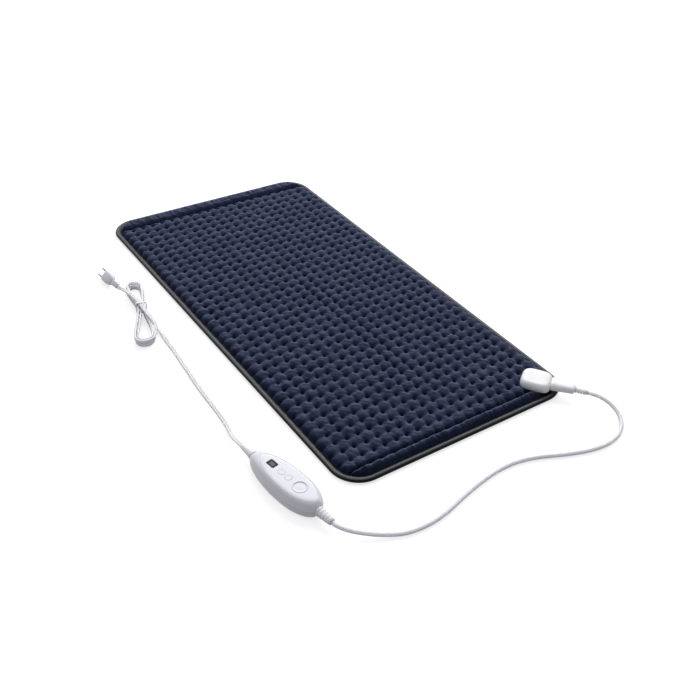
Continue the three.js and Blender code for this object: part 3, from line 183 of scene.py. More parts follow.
def placed(points, origin, heading):
    """Points in a piece's own frame, turned by the heading in degrees about Z and moved to origin."""
    c, s = bearing(np.radians(heading))
    turn = np.array([[c, -s, 0], [s, c, 0], [0, 0, 1]])
    return np.asarray(points, float) @ turn.T + np.asarray(origin, float)


def line_through(points, steps):
    """Smooth line through points: centripetal Catmull-Rom, where each span between two points is a
    cubic whose knots are spaced by the square root of the chord. Returns steps points per span."""
    p = np.asarray(points, float)
    p = np.vstack([2 * p[0] - p[1], p, 2 * p[-1] - p[-2]])
    gap = np.sqrt(np.linalg.norm(np.diff(p[:, :3], axis=0), axis=1))
    knot = np.concatenate([[0], np.cumsum(gap)])
    knots = [knot[i:len(knot) - 3 + i, None, None] for i in range(4)]
    line = [p[i:len(p) - 3 + i, None, :] for i in range(4)]
    t = knots[1] + (knots[2] - knots[1]) * np.linspace(0, 1, steps, endpoint=False)[None, :, None]
    for spans in (((0, 1), (1, 2), (2, 3)), ((0, 2), (1, 3)), ((1, 2),)):
        line = [((knots[b] - t) * line[i] + (t - knots[a]) * line[i + 1]) / (knots[b] - knots[a])
                for i, (a, b) in enumerate(spans)]
    return np.vstack([line[0].reshape(-1, p.shape[1]), p[-2:-1]])


def carried(section, line, turn):
    """Rings of a section carried along a line. Across the line the section's x runs level when turn
    is 0 and upright when it is 90 degrees, and its y is square to that."""
    ahead = unit(np.gradient(line, axis=0))
    side = unit(np.cross([0, 0, 1], ahead))
    wide = np.cos(turn)[:, None] * side + np.sin(turn)[:, None] * np.cross(ahead, side)
    thin = np.cross(ahead, wide)
    return (line[:, None, :] + section[None, :, :1] * wide[:, None, :]
            + section[None, :, 1:] * thin[:, None, :])


def skinned(rings):
    """Points and faces of the skin over rings of equal counts, with a flat face over each end."""
    rings = np.asarray(rings, float)
    count, around = rings.shape[:2]
    number = np.arange(count * around).reshape(count, around)
    after = np.roll(number, -1, axis=1)
    quads = np.stack([number[:-1], after[:-1], after[1:], number[1:]], axis=-1).reshape(-1, 4)
    faces = quads.tolist() + [number[0, ::-1].tolist(), number[-1].tolist()]
    return rings.reshape(-1, 3), faces


def made(name, points, faces, body, material, replaced=(), slot=None, crease=40, cuts=(), marks=None,
         uv=None, at=None):
    """Mesh object from points in millimetres, with doubled points merged, faces turned outwards,
    the bodies in cuts taken away, and edges sharper than crease degrees left hard. The marks are
    values kept on its points, uv is the name and places of a flat map, and at is the origin and
    heading of the frame in which the piece and its cuts are drawn."""
    if at:
        points = placed(points, *at)
    mesh = bpy.data.meshes.new(name)
    mesh.from_pydata((np.asarray(points) * 0.001).tolist(), [], faces)
    for mark, values in (marks or {}).items():
        mesh.attributes.new(mark, "FLOAT", "POINT").data.foreach_set("value", np.asarray(values, np.float32))
    if uv:
        corner = np.empty(len(mesh.loops), np.int32)
        mesh.loops.foreach_get("vertex_index", corner)
        mesh.uv_layers.new(name=uv[0]).data.foreach_set("uv", uv[1][corner].astype(np.float32).ravel())
    shell = bmesh.new()
    shell.from_mesh(mesh)
    bmesh.ops.remove_doubles(shell, verts=shell.verts, dist=1e-6)
    bmesh.ops.recalc_face_normals(shell, faces=shell.faces)
    shell.to_mesh(mesh)
    shell.free()
    piece = bpy.data.objects.new(name, mesh)
    bpy.context.scene.collection.objects.link(piece)
    for cut in cuts:
        cutter = made(name + "_cutter", *cut, None, None, at=at)
        taken = piece.modifiers.new("taken", "BOOLEAN")
        taken.operation, taken.solver, taken.object = "DIFFERENCE", "EXACT", cutter
        bpy.context.view_layer.update()
        result = bpy.data.meshes.new_from_object(piece.evaluated_get(bpy.context.evaluated_depsgraph_get()))
        piece.modifiers.clear()
        piece.data = result
        bpy.data.objects.remove(cutter)
    piece.data.name = name
    piece.data.shade_smooth()
    piece.data.set_sharp_from_angle(angle=np.radians(crease))
    if body:
        piece.data.materials.clear()
        piece.data.materials.append(material)
        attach(piece, body)
        if replaced:
            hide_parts(*replaced)
    return piece


def finish_of(name, roughness, sockets=()):
    """New material: its main shader with some sockets set, and the surface's own coordinates to draw
    patterns on."""
    material = bpy.data.materials.new(name)
    material.use_nodes = True
    shader = material.node_tree.nodes["Principled BSDF"]
    for socket, value in {"Roughness": roughness, **dict(sockets)}.items():
        shader.inputs[socket].default_value = value
    return material, shader, Shade(material.node_tree).node("ShaderNodeTexCoord", {}, {}, "Object")


def coloured(shader, share, low, high):
    """Base colour that goes from low to high as share goes from 0 to 1."""
    share.node("ShaderNodeMix", {"data_type": "RGBA"}, {
        0: share, 6: (*low, 1), 7: (*high, 1)}, 2).into(shader.inputs["Base Color"])


def embossed(shader, height, strength, depth):
    """Bump from a height between 0 and 1, whose full step is depth metres."""
    height.node("ShaderNodeBump", {}, {
        "Strength": strength, "Distance": depth, "Height": height}).into(shader.inputs["Normal"])


def speckle(place, scale, detail=2.0, roughness=0.5):
    """Even noise between 0 and 1, with about scale features to the metre."""
    return place.node("ShaderNodeTexNoise", {}, {
        "Vector": place, "Scale": scale, "Detail": detail, "Roughness": roughness}, "Fac")


def moulded(name, colour, shade, roughness, grain=900, milky=0.0):
    """Moulded plastic: slow drift of tone, a fine spark-eroded grain and a slightly uneven gloss. A
    milky one lets light in to that depth in metres, so that its shaded sides are paler."""
    material, shader, place = finish_of(name, roughness, {
        "Subsurface Weight": 1.0 if milky else 0.0, "Subsurface Scale": milky,
        "Subsurface Radius": (1, 1, 1)})
    drift = speckle(place, 24)
    coloured(shader, drift.eased(0.3, 0.7), colour, [c * shade for c in colour])
    gloss = speckle(place, 160, 3) * 0.16 + (roughness - 0.08)
    gloss.into(shader.inputs["Roughness"])
    embossed(shader, speckle(place, grain, 2), 0.12, 0.00012)
    return material


jacket = moulded("pale_jacket", (0.84, 0.84, 0.88), 0.97, 0.5, 700, 0.008)
socket_at, socket_axis = ((385.2, 171.0, 0), 36.0), 18.5
case_at, case_axis = ((367.2, -285.7, 0), 9.0), 13.5
lead_points = np.vstack([
    placed([[77.8, 0, socket_axis], [84.4, 0, socket_axis]], *socket_at),
    [[466, 229.2, 16.8], [482, 235.4, 12.4], [501, 234.5, 7.4], [520, 222, 4.4], [533.5, 200, 3.6],
     [539, 172, 3.5], [535, 138, 3.5], [522, 99, 3.5], [505.5, 60, 3.5], [497, 27, 3.5],
     [495.8, -7, 3.5], [500.8, -45, 3.5], [511, -90, 3.5], [520.5, -126, 3.5], [524.2, -160, 3.5],
     [520.5, -193, 3.8], [508.5, -220, 4.8], [495, -242, 7.4], [482, -259.5, 11.2]],
    placed([[102.2, 0, case_axis], [95.6, 0, case_axis]], *case_at),
])
lead_line = line_through(lead_points, 14)
lead_rings = carried(circle(LEAD_DIAMETER / 2, 28), lead_line, np.zeros(len(lead_line)))
pad_lead = made("lead_to_pad", *skinned(lead_rings), "cord_set", jacket, ["pad_lead"], "cord_jacket")


# Mains cord.
# A flat twin cord with a groove between its two cores. Most of it is folded into a bow of three
# turns on edge, and the last strand crosses the waist under the tie and runs on to the plug.
CORD_WIDTH, CORD_THICKNESS, FLOOR_GAP = 7.2, 3.6, 0.1
HANK_TURNS, HANK_PITCH, HANK_BEND = 3, 4.5, 0.00065
TIE_WIDTH, TIE_THICKNESS, TIE_REACH = 5, 1.2, 16
hank_place, hank_heading = np.array([-122.0, -279.0]), np.radians(163.75)
hank_ahead, hank_beside = bearing(hank_heading), bearing(hank_heading - np.pi / 2)
tie_lift = TIE_THICKNESS + 0.35 + FLOOR_GAP
waist_half = 1.75 * HANK_PITCH
edge_level = FLOOR_GAP + CORD_WIDTH / 2
layer_rise = CORD_WIDTH + 0.6
cross_level = edge_level + layer_rise + CORD_WIDTH / 2 + 0.5 + CORD_THICKNESS / 2


def on_hank(u, v, z):
    """Places in the bow's frame, u along it and v across. Both ends bend to one side by a parabola
    in u, and every strand rises over the tie by a bell curve at the waist."""
    u, v, z = (np.asarray(value, float) for value in (u, v, z))
    flat = hank_place + u[:, None] * hank_ahead + (v - HANK_BEND * u ** 2)[:, None] * hank_beside
    return np.column_stack([flat, z + tie_lift * np.exp(-(u / TIE_REACH) ** 2)])


def eased(value):
    """Smooth step t t (3 - 2 t), where t is the value held between 0 and 1."""
    value = np.clip(value, 0, 1)
    return value * value * (3 - 2 * value)


def bow_turns():
    """Stations of the bow. Each half turn runs out from the waist, round a half circle and back, on
    one end and then the other, drawn in by one pitch a turn on the lower layer and let out by the
    same on the upper one. The climb between layers is at the waist, half way."""
    bends, straightens = 0.4, 0.6
    steps = np.array([0, 0.07, 0.14, 0.21, 0.28, 0.34, *np.linspace(bends, straightens, 13),
                      0.66, 0.72, 0.79, 0.86, 0.93])
    half = np.repeat(np.arange(2 * HANK_TURNS), len(steps))
    step = np.tile(steps, 2 * HANK_TURNS)
    keep = (half < 2 * HANK_TURNS - 1) | (step <= straightens)
    half, step = half[keep], step[keep]
    upper = half % 2 == 0
    way = np.where(upper, 1.0, -1.0)
    run, radius = np.where(upper, 65.5, 85.5), np.where(upper, 15.0, 17.5)
    turn = (half + step) / 2
    inset = HANK_PITCH * np.minimum(turn, HANK_TURNS - turn)
    angle = np.pi * np.clip((step - bends) / (straightens - bends), 0, 1)
    share = np.where(step < 0.5, step, 1 - step) / bends
    on_end = (step >= bends) & (step <= straightens)
    straight = (waist_half - inset + (radius - waist_half) * eased(share)) * np.where(step < 0.5, 1, -1)
    u = way * np.where(on_end, run + (radius - inset) * np.sin(angle), run * share)
    v = way * np.where(on_end, (radius - inset) * np.cos(angle), straight)
    z = edge_level + layer_rise * eased((turn - HANK_TURNS / 2 + 0.08) / 0.16)
    return on_hank(u, v, z), np.full(len(u), np.pi / 2)


entry_u = np.array([-100, -92.8, -80, -66, -52, -38, -25, -12.0])
entry_turn = np.pi / 2 * eased((entry_u + 90) / 48)
entry = on_hank(entry_u, waist_half + 0.36 * (np.hypot(entry_u, 25) - 25),
                FLOOR_GAP + CORD_WIDTH / 2 * np.sin(entry_turn) + CORD_THICKNESS / 2 * np.cos(entry_turn))
bow, bow_turn = bow_turns()
top_level = edge_level + layer_rise
crossing = np.array([
    [-78, 18.2, top_level + 0.4, 82], [-66, 18.6, top_level + 3, 50], [-54, 16.2, top_level + 5.6, 12],
    [-42, 12, cross_level + 0.4, 0], [-28, 7.2, cross_level + 0.3, 0], [-14, 2.9, cross_level + 0.1, 0],
    [0, -0.8, cross_level, 0], [7, -2.6, cross_level, 0], [14, -4.5, cross_level, 0],
    [26, -8.7, 17.9, 0], [38, -13.9, 18, -6], [50, -18.4, 16, -18], [60, -21.6, 13, -32],
])
plug_place, plug_heading, plug_lean = np.array([-245.4, -291.9, 10.8]), np.radians(186.1), np.radians(44)
plug_ahead = np.append(bearing(plug_heading), 0)
PLUG_BODY, PLUG_TAIL = 25, 19
plug_back = PLUG_BODY + 0.98 * PLUG_TAIL + 0.3
mains_stations = np.vstack([
    placed([[-95.1, 0, case_axis], [-102.3, 0, case_axis]], *case_at),
    [[256, -301.8, 11.6], [243, -300, 8.4], [230, -297, 5.2], [212, -293.2, 2.6], [188, -290.9, 1.9],
     [160, -289.8, 1.9], [130, -289, 1.9], [105, -287.6, 1.9], [75, -285.2, 1.9], [42, -282.4, 1.9],
     [10, -279.9, 1.9]],
    entry, bow, on_hank(*crossing[:, :3].T),
    [plug_place - (plug_back + CORD_WIDTH) * plug_ahead, plug_place - plug_back * plug_ahead],
])
mains_turn = np.concatenate([
    np.zeros(13), entry_turn, bow_turn, np.radians(crossing[:, 3]), [-plug_lean, -plug_lean]])
mains_line = line_through(np.column_stack([mains_stations, mains_turn]), 5)
mains_line, mains_turn = mains_line[:, :3], mains_line[:, 3]


def twin_section(count):
    """Outline of two round cores side by side: two circles whose centres are a diameter apart, each
    followed until 35 degrees short of the other, which leaves a groove on both faces."""
    radius = CORD_THICKNESS / 2
    centre = CORD_WIDTH / 2 - radius
    bend = np.radians(np.linspace(-145, 145, count))
    right = np.stack([centre + radius * np.cos(bend), radius * np.sin(bend)], axis=1)
    return np.vstack([right, -right])


mains_cord = made("mains_cord", *skinned(carried(twin_section(11), mains_line, mains_turn)),
                  "cord_set", jacket, ["mains_lead", "mains_hank", "mains_tail"], "cord_jacket", crease=60)


# Upper cover.
# Plush sewn through its filling at a close grid of points, so that it swells into small pillows.
# A plain roll runs along both short ends, and the rim is caught in the binding.
PAD_LENGTH, PAD_WIDTH, PAD_CORNER, PLUSH_INSET = 838.0, 432.0, 47.0, 10.8


def in_from_edge(x, y):
    """Distance in from the pad's rounded outline: the corner radius less the distance to the
    rectangle of the corners' centres, which is negative inside it."""
    side_x = np.abs(x) - (PAD_LENGTH / 2 - PAD_CORNER)
    side_y = np.abs(y) - (PAD_WIDTH / 2 - PAD_CORNER)
    beyond = np.hypot(np.maximum(side_x, 0), np.maximum(side_y, 0))
    return PAD_CORNER - beyond - np.minimum(np.maximum(side_x, side_y), 0)


def cover_grid(inset, step):
    """Grid over the pad at an inset, with its corner squares drawn onto the round corners: for p and
    q from 0 to 1 across a square, x goes as p sqrt(1 - q q / 2) and y as q sqrt(1 - p p / 2)."""
    half_x, half_y, radius = PAD_LENGTH / 2 - inset, PAD_WIDTH / 2 - inset, PAD_CORNER - inset
    x, y = np.meshgrid(
        np.linspace(-half_x, half_x, round(2 * half_x / step) + 1),
        np.linspace(-half_y, half_y, round(2 * half_y / step) + 1), indexing="ij")
    p = np.maximum(np.abs(x) - half_x + radius, 0) / radius
    q = np.maximum(np.abs(y) - half_y + radius, 0) / radius
    drawn_x = np.sign(x) * (half_x - radius + radius * p * np.sqrt(1 - q * q / 2))
    drawn_y = np.sign(y) * (half_y - radius + radius * q * np.sqrt(1 - p * p / 2))
    corner = (p > 0) & (q > 0)
    return np.where(corner, drawn_x, x), np.where(corner, drawn_y, y)


def grid_faces(rows, columns):
    """Faces between the neighbours of a grid whose points are numbered row by row."""
    number = np.arange(rows * columns).reshape(rows, columns)
    quads = np.stack([number[:-1, :-1], number[1:, :-1], number[1:, 1:], number[:-1, 1:]], axis=-1)
    return quads.reshape(-1, 4).tolist()


def cover_body(x, y, z, folds):
    """Closed body under a grid of heights: its edge goes on through rings given as (reach outwards,
    level), and a flat face closes the last ring."""
    number = np.arange(x.size).reshape(x.shape)
    edge = np.concatenate([number[:-1, 0], number[-1, :-1], number[:0:-1, -1], number[0, :0:-1]])
    edge_x, edge_y = x.ravel()[edge], y.ravel()[edge]
    out = unit(np.stack([
        np.sign(edge_x) * np.maximum(np.abs(edge_x) - PAD_LENGTH / 2 + PAD_CORNER, 0),
        np.sign(edge_y) * np.maximum(np.abs(edge_y) - PAD_WIDTH / 2 + PAD_CORNER, 0)], axis=1))
    rings = [np.column_stack([
        edge_x + reach * out[:, 0], edge_y + reach * out[:, 1], np.full(len(edge), level)])
        for reach, level in folds]
    points = np.vstack([np.stack([x, y, z], axis=-1).reshape(-1, 3), *rings])
    loops = np.vstack([edge, x.size + np.arange(len(rings) * len(edge)).reshape(len(rings), -1)])
    after = np.roll(loops, -1, axis=1)
    walls = np.stack([loops[:-1], loops[1:], after[1:], after[:-1]], axis=-1).reshape(-1, 4)
    return points, grid_faces(*x.shape) + walls.tolist() + [loops[-1, ::-1].tolist()]


SEWN_FIRST, SEWN_PITCH, SEWN_COUNT = np.array([-376.0, -203.0]), np.array([20.27, 20.3]), (39, 21)
SEWN_LAST = SEWN_FIRST + SEWN_PITCH * (np.array(SEWN_COUNT) - 1)
SEWN_SKEW, SEWN_SHIFT = np.array([[1.0104, 0.0137], [-0.0034, 1]]), np.array([-2.7, 1.3])
SEWN_LEVEL, PILLOW_RISE, RIM_LEVEL = 7.7, 6.2, 5.9


def sewn_pull(x, y):
    """How far the sewing draws the cover in, from 0 to 1. At each sewn point it is a wide and a narrow
    bell curve in the distance to it, with each point a little out of place and more or less tight,
    and shallow furrows join the points along both ways of the grid, deeper along the middle fold. The
    grid lies a little askew on the pad, so the place is first turned into the grid's own x and y."""
    wide, narrow, furrow = 5.4, 2.2, 2.6
    spot = np.stack([x, y], axis=-1) @ SEWN_SKEW.T + SEWN_SHIFT
    x, y = spot[..., 0], spot[..., 1]
    chance = np.random.default_rng(4)
    drift = chance.normal(0, 0.5, (*SEWN_COUNT, 2))
    tight = chance.uniform(0.8, 1.12, SEWN_COUNT)
    across = (spot - SEWN_FIRST) / SEWN_PITCH
    column, row = (np.clip(np.floor(across[..., k]), 0, SEWN_COUNT[k] - 2).astype(int) for k in (0, 1))
    left = np.ones_like(x)
    for i, j in ((0, 0), (0, 1), (1, 0), (1, 1)):
        point = SEWN_FIRST + np.stack([column + i, row + j], axis=-1) * SEWN_PITCH
        point = point + drift[column + i, row + j]
        away = (x - point[..., 0]) ** 2 + (y - point[..., 1]) ** 2
        bell = 0.4 * np.exp(-away / (2 * wide ** 2)) + 0.6 * np.exp(-away / (2 * narrow ** 2))
        left *= 1 - np.minimum(tight[column + i, row + j] * bell, 1)
    off_line = SEWN_PITCH * (across - np.round(across))
    taut = 0.12 + 0.1 * np.sin(x / 11 + 3 * np.sin(y / 29)) * np.sin(y / 9 + 3 * np.sin(x / 31))
    folded = 0.4 * np.exp(-((y - 10) / 13) ** 2) * eased((x + 120) / 60) * eased((340 - x) / 120)
    furrows = np.stack([taut, taut + folded], axis=-1) * np.exp(-(off_line / furrow) ** 2)
    return 1 - left * (1 - furrows[..., 0]) * (1 - furrows[..., 1])


CAP_SIZE, CAP_POWER, CAP_MIDDLE, SEAT_LEVEL = np.array([49, 45]), 3.6, -2, 11.7


def plush_heights(x, y):
    """Level of the plush: a quarter circle up from the binding to the sewn level and the pillows on
    it, which rise by what the sewing leaves free. A seam sewn right down stands before the plain roll
    at each end, which swells as a quarter sine and is gathered by the sewing, and the socket's block
    presses its seat level."""
    seam_width, far_roll, near_roll = 2.6, 12, 3.6
    turned_down = 5 + 4 * eased((np.abs(x) - 375) / 15)
    rise = np.sqrt(1 - (1 - np.clip((in_from_edge(x, y) - PLUSH_INSET) / turned_down, 0, 1)) ** 2)
    slack = np.sin(x / 21 + 1.3 * np.sin(y / 37)) * np.sin(y / 26 + 0.9 * np.sin(x / 45))
    puffs = np.sin(x / 7.3 + 2 * np.sin(y / 17)) * np.sin(y / 6.1 + 2 * np.sin(x / 19))
    crumples = np.sin(x / 2.7 + 2.5 * np.sin(y / 6.3)) * np.sin(y / 2.4 + 2.5 * np.sin(x / 7.1))
    gathers = np.sin(y / 3.23 + 1.5 * np.sin(y / 13)) + 0.6 * np.sin(y / 1.9 + 2 * np.sin(y / 7))
    past_far, past_near = SEWN_FIRST[0] - x - 0.9 * gathers, x - SEWN_LAST[0] - 0.7 * gathers
    seam = np.exp(-(past_far / seam_width) ** 2) + np.exp(-(past_near / seam_width) ** 2)
    pull = sewn_pull(x, y)
    swell = np.sin(np.pi / 2 * np.clip(np.maximum(past_far / far_roll, past_near / near_roll), 0, 1))
    in_roll = (past_far > 0) | (past_near > 0)
    free = np.where(in_roll, swell * (1 - 0.4 * pull), (1 - pull) * (1 - seam))
    pillow = PILLOW_RISE + 0.5 * slack + 0.45 * puffs + 0.45 * crumples + (0.8 + 0.55 * gathers) * in_roll
    z = RIM_LEVEL + rise * (SEWN_LEVEL + pillow * free - RIM_LEVEL)
    (socket_x, socket_y, _), heading = socket_at
    c, s = bearing(np.radians(heading))
    along = (x - socket_x) * c + (y - socket_y) * s - CAP_MIDDLE
    aside = (y - socket_y) * c - (x - socket_x) * s
    seat = CAP_SIZE / 2 + 0.5
    under_cap = eased(
        2.4 - 1.4 * ((np.abs(along) / seat[0]) ** CAP_POWER + (np.abs(aside) / seat[1]) ** CAP_POWER))
    return z + under_cap * (np.minimum(SEAT_LEVEL, RIM_LEVEL + 6 * rise) - z), 1 - free


def towards(place, direction, low, high):
    """Share from 0 to 1 by which a surface faces a direction: the product of its own normal and the
    direction, eased from low to high."""
    facing = place.node("ShaderNodeTexCoord", {}, {}, "Normal")
    return facing.node("ShaderNodeVectorMath", {"operation": "DOT_PRODUCT"}, {
        0: facing, 1: direction}, "Value").eased(low, high)


plush, shader, place = finish_of("navy_plush", 0.95, {
    "Sheen Weight": 0.5, "Sheen Roughness": 0.4, "Sheen Tint": (0.42, 0.51, 0.82, 1),
    "Specular IOR Level": 0.05})
# Painted shade: the base colour is darker where the sewing draws the plush down into its dimples.
sewn = place.node("ShaderNodeAttribute", {"attribute_name": "sewn"}, {}, "Fac")
pile = speckle(place, 520, 4, 0.65)
rumpled = speckle(place, 190, 3, 0.6)
brushed = speckle(place, 45, 3, 0.6)
# Painted light: the base colour is lighter on slopes that face -x, +y and up, on the lamp's side.
painted_lit = towards(place, (-0.7, 0.55, 0.32), -0.25, 0.95)
# The plush's colour share: its own pile mottle, times the painted light and the painted shade.
pile_and_painted_light = (1 - sewn.eased(0.3, 0.9)) * (0.15 + painted_lit * painted_lit * 1.12) * (
    0.35 + pile.eased(0.3, 0.7) * 0.3 + rumpled.eased(0.3, 0.7) * 0.3 + brushed.eased(0.3, 0.7) * 0.3)
coloured(shader, pile_and_painted_light, (0.0004, 0.0025, 0.016), (0.088, 0.103, 0.162))
embossed(shader, pile * 0.3 + rumpled * 0.7, 0.7, 0.0026)
cover_x, cover_y = cover_grid(PLUSH_INSET, 1.9)
cover_z, cover_sewn = plush_heights(cover_x, cover_y)
cover_points, cover_faces = cover_body(
    cover_x, cover_y, cover_z, [(9.1, 5.7), (9.1, 4.0), (0, 3.8), (-5, 7.2)])
upper_cover = made("plush_cover", cover_points, cover_faces, "pad", plush, ["pad_top_cover"], "plush", 180,
                   marks={"sewn": np.append(cover_sewn.ravel(), np.zeros(len(cover_points) - cover_x.size))})


# Lower cover.
# A plain brushed cloth under a thin layer of wadding, drawn up a little at the same sewn points.
# It lies flat on the floor, and its thinned rim is caught in the binding's lower fold.
def bands(place, way, scale, distortion, detail=2.0):
    """Soft bands between 0 and 1 that follow each other one way: half and half a sine of twenty
    times the scaled place, bent out of true by noise."""
    return place.node("ShaderNodeTexWave", {"bands_direction": way}, {
        "Vector": place, "Scale": scale, "Distortion": distortion, "Detail": detail}, "Fac")


backing, shader, place = finish_of("brushed_backing", 0.95, {"Sheen Weight": 0.25})
weave = bands(place, "X", 420, 1.2) * 0.5 + bands(place, "Y", 420, 1.2) * 0.5
coloured(shader, weave * 0.6 + speckle(place, 45, 3) * 0.4, (0.008, 0.01, 0.02), (0.026, 0.032, 0.062))
embossed(shader, weave, 0.5, 0.0003)
under_x, under_y = cover_grid(PLUSH_INSET, 4.2)
under_z = 0.9 * sewn_pull(under_x, under_y) + 0.5 * eased((13.5 - in_from_edge(under_x, under_y)) / 2.6)
lower_cover = made("lower_cover", *cover_body(
    under_x, under_y, under_z, [(0, 1.7), (9.1, 1.7), (9.1, 3.5)]), "pad", backing, ["pad_bottom_cover"],
    "lower_cloth", 50)


# Binding.
# A ribbed satin tape folded over the raw edge of both covers and sewn through in one go, so a row of
# stitches runs along its inner edge. It is charcoal and round as a bead, with a painted highlight on top.
def round_pad(straights, bends):
    """Stations once round the pad and back to the first: the centre that each turns about, and its
    outward direction. At an inset d the outline is the centre plus (corner radius - d) times it."""
    half = np.array([PAD_LENGTH / 2 - PAD_CORNER, PAD_WIDTH / 2 - PAD_CORNER])
    corners = half * np.array([[1, 1], [-1, 1], [-1, -1], [1, -1]])
    centres, headings = [], []
    for k in range(4):
        centres += [np.repeat(corners[k][None], bends, axis=0)]
        headings += [np.linspace(k, k + 1, bends) * np.pi / 2]
        count = straights[k % 2]
        share = np.linspace(0, 1, count + 2)[1:-1, None]
        centres += [corners[k] + share * (corners[(k + 1) % 4] - corners[k])]
        headings += [np.full(count, (k + 1) * np.pi / 2)]
    headings = np.concatenate([*headings, headings[0][:1]])
    return np.vstack([*centres, centres[0][:1]]), bearing(headings)


def run_along(line):
    """Distance run along a line at each of its points: the sum of the steps up to it."""
    return np.append(0, np.cumsum(np.linalg.norm(np.diff(line, axis=0), axis=1)))


def spaced(line, at):
    """Places at given distances along a closed line, straight between its points."""
    run = run_along(line)
    return np.stack([np.interp(at, run, side, period=run[-1]) for side in line.T], axis=1)


def mottled(name, roughness, low, high, tones, grain, strength, depth, metallic=0.0):
    """Plain finish: a mottle between two tones, and a grain in the surface. Each is even noise, given
    by its scale, its detail and how rough that is."""
    material, shader, place = finish_of(name, roughness, {"Metallic": metallic})
    coloured(shader, speckle(place, *tones), low, high)
    embossed(shader, speckle(place, *grain), strength, depth)
    return material


tape, shader, place = finish_of("binding_tape", 0.31, {"Specular IOR Level": 0.14})
woven = place.node("ShaderNodeUVMap", {"uv_map": "woven"}, {})
ribs_across = bands(woven, "X", 320, 0.6, 1)
threads = bands(woven, "Y", 420, 1, 1)
over = place.node("ShaderNodeSeparateXYZ", {}, {0: woven}, "Y")
# Painted highlight: a paler band over the tape's top, broken by its ribs and a mottle; elsewhere it stays
# charcoal.
highlight_band = over.eased(0.0035, 0.0055) * (1 - over.eased(0.0078, 0.0105))
# Painted light: the share by which the tape faces -y and up, which makes the painted highlight stronger
# there.
turned = towards(place, (-0.35, -0.85, 0.4), 0, 0.5)
painted_highlight = highlight_band * (0.2 + turned * 0.8) * (0.62 + ribs_across * 0.22 + speckle(place, 130, 3) * 0.3)
coloured(shader, painted_highlight, (0.0035, 0.0035, 0.004), (0.11, 0.118, 0.124))
embossed(shader, ribs_across * 0.7 + threads * 0.3, 0.3, 0.0003)
bead = np.array([4.8, 3.8])
fold = np.radians(np.linspace(90, 270, 17))
tape_section = np.vstack([
    [[10.5, 6.05], [10.3, 6.25], [9.4, 6.5], [8.2, 6.9], [7.2, 7.22], [6.2, 7.47], [5.4, 7.58]],
    bead + bead * bearing(fold),
    [[6, 0.02], [8.3, 0.1], [9.9, 0.4], [10.5, 1.1], [10.5, 1.4], [1.5, 1.4], [1.5, 6.05], [10.5, 6.05]],
])
tape_centres, tape_out = round_pad((96, 48), 22)
tape_rings = np.concatenate([
    tape_centres[:, None, :] + (PAD_CORNER - tape_section[None, :, :1]) * tape_out[:, None, :],
    np.broadcast_to(tape_section[None, :, 1:], (len(tape_out), len(tape_section), 1))], axis=2)
tape_uv = np.stack(np.meshgrid(
    run_along(tape_rings[:, 0]), run_along(tape_section), indexing="ij"), axis=-1).reshape(-1, 2) * 0.001
made("binding", tape_rings.reshape(-1, 3), grid_faces(*tape_rings.shape[:2]), "pad", tape,
     ["edge_binding"], "binding_tape", 60, uv=("woven", tape_uv))

thread = mottled("sewing_thread", 0.7, (0.012, 0.012, 0.014), (0.035, 0.036, 0.04), (900, 3), (2600, 2),
                 0.4, 0.0002)
STITCH_COUNT, STITCH_LENGTH, STITCH_INSET, STITCH_LEVEL, THREAD_RADIUS = 560, 3, 8.4, 6.85, 0.34
stitch_line = tape_centres + (PAD_CORNER - STITCH_INSET) * tape_out
stitch_at = np.linspace(0, run_along(stitch_line)[-1], STITCH_COUNT, endpoint=False)
stitch_middle = spaced(stitch_line, stitch_at)
stitch_ahead = unit(spaced(stitch_line, stitch_at + 1) - stitch_middle)
grain_u = np.linspace(-1, 1, 6)
grain_radius = THREAD_RADIUS * np.sqrt(1.02 - grain_u ** 2)
grain_across, grain_up = (np.outer(grain_radius, side).ravel() for side in circle(1, 6).T)
grain = np.stack([
    np.repeat(grain_u * STITCH_LENGTH / 2, 6), grain_across,
    grain_up + np.repeat(0.1 - 0.3 * grain_u ** 2, 6)], axis=1)
grain_faces = skinned(grain.reshape(6, 6, 3))[1]
stitch_points = np.concatenate([
    stitch_middle[:, None, :] + grain[None, :, :1] * stitch_ahead[:, None, :]
    + grain[None, :, 1:2] * (stitch_ahead[:, ::-1] * [-1, 1])[:, None, :],
    np.broadcast_to(STITCH_LEVEL + grain[None, :, 2:], (STITCH_COUNT, len(grain), 1))], axis=2)
grain_first = len(grain) * np.arange(STITCH_COUNT)[:, None, None]
stitch_sides = (grain_first + np.array(grain_faces[:-2])).reshape(-1, 4)
stitch_ends = (grain_first + np.array(grain_faces[-2:])).reshape(-1, 6)
made("stitching", stitch_points.reshape(-1, 3), stitch_sides.tolist() + stitch_ends.tolist(), "pad",
     thread, (), "binding_tape", 60)


# Inside the pad.
# A thin non-woven sheet carries one heating wire in parallel runs, with a thermal cut-out on it.
# The wire lies in a soft sleeve, and all of it is closed in between the two covers.
def dressed(material, *names):
    """Puts a finish on pieces that stay as they were drawn."""
    for name in names:
        nodes[name].data.materials.clear()
        nodes[name].data.materials.append(material)


felt = mottled("carrier_felt", 0.95, (0.46, 0.44, 0.38), (0.7, 0.68, 0.62), (300, 5, 0.7), (700, 4, 0.7),
               0.5, 0.0003)
dressed(felt, "wire_carrier_sheet")
sleeve, shader, place = finish_of("wire_sleeve", 0.6)
braid = bands(place, "DIAGONAL", 240, 1)
coloured(shader, braid, (0.6, 0.57, 0.48), (0.78, 0.75, 0.68))
embossed(shader, braid, 0.4, 0.0002)
dressed(sleeve, "heating_element")
black = moulded("black_plastic", (0.02, 0.02, 0.022), 0.7, 0.5)
dressed(black, "overheat_cutout")


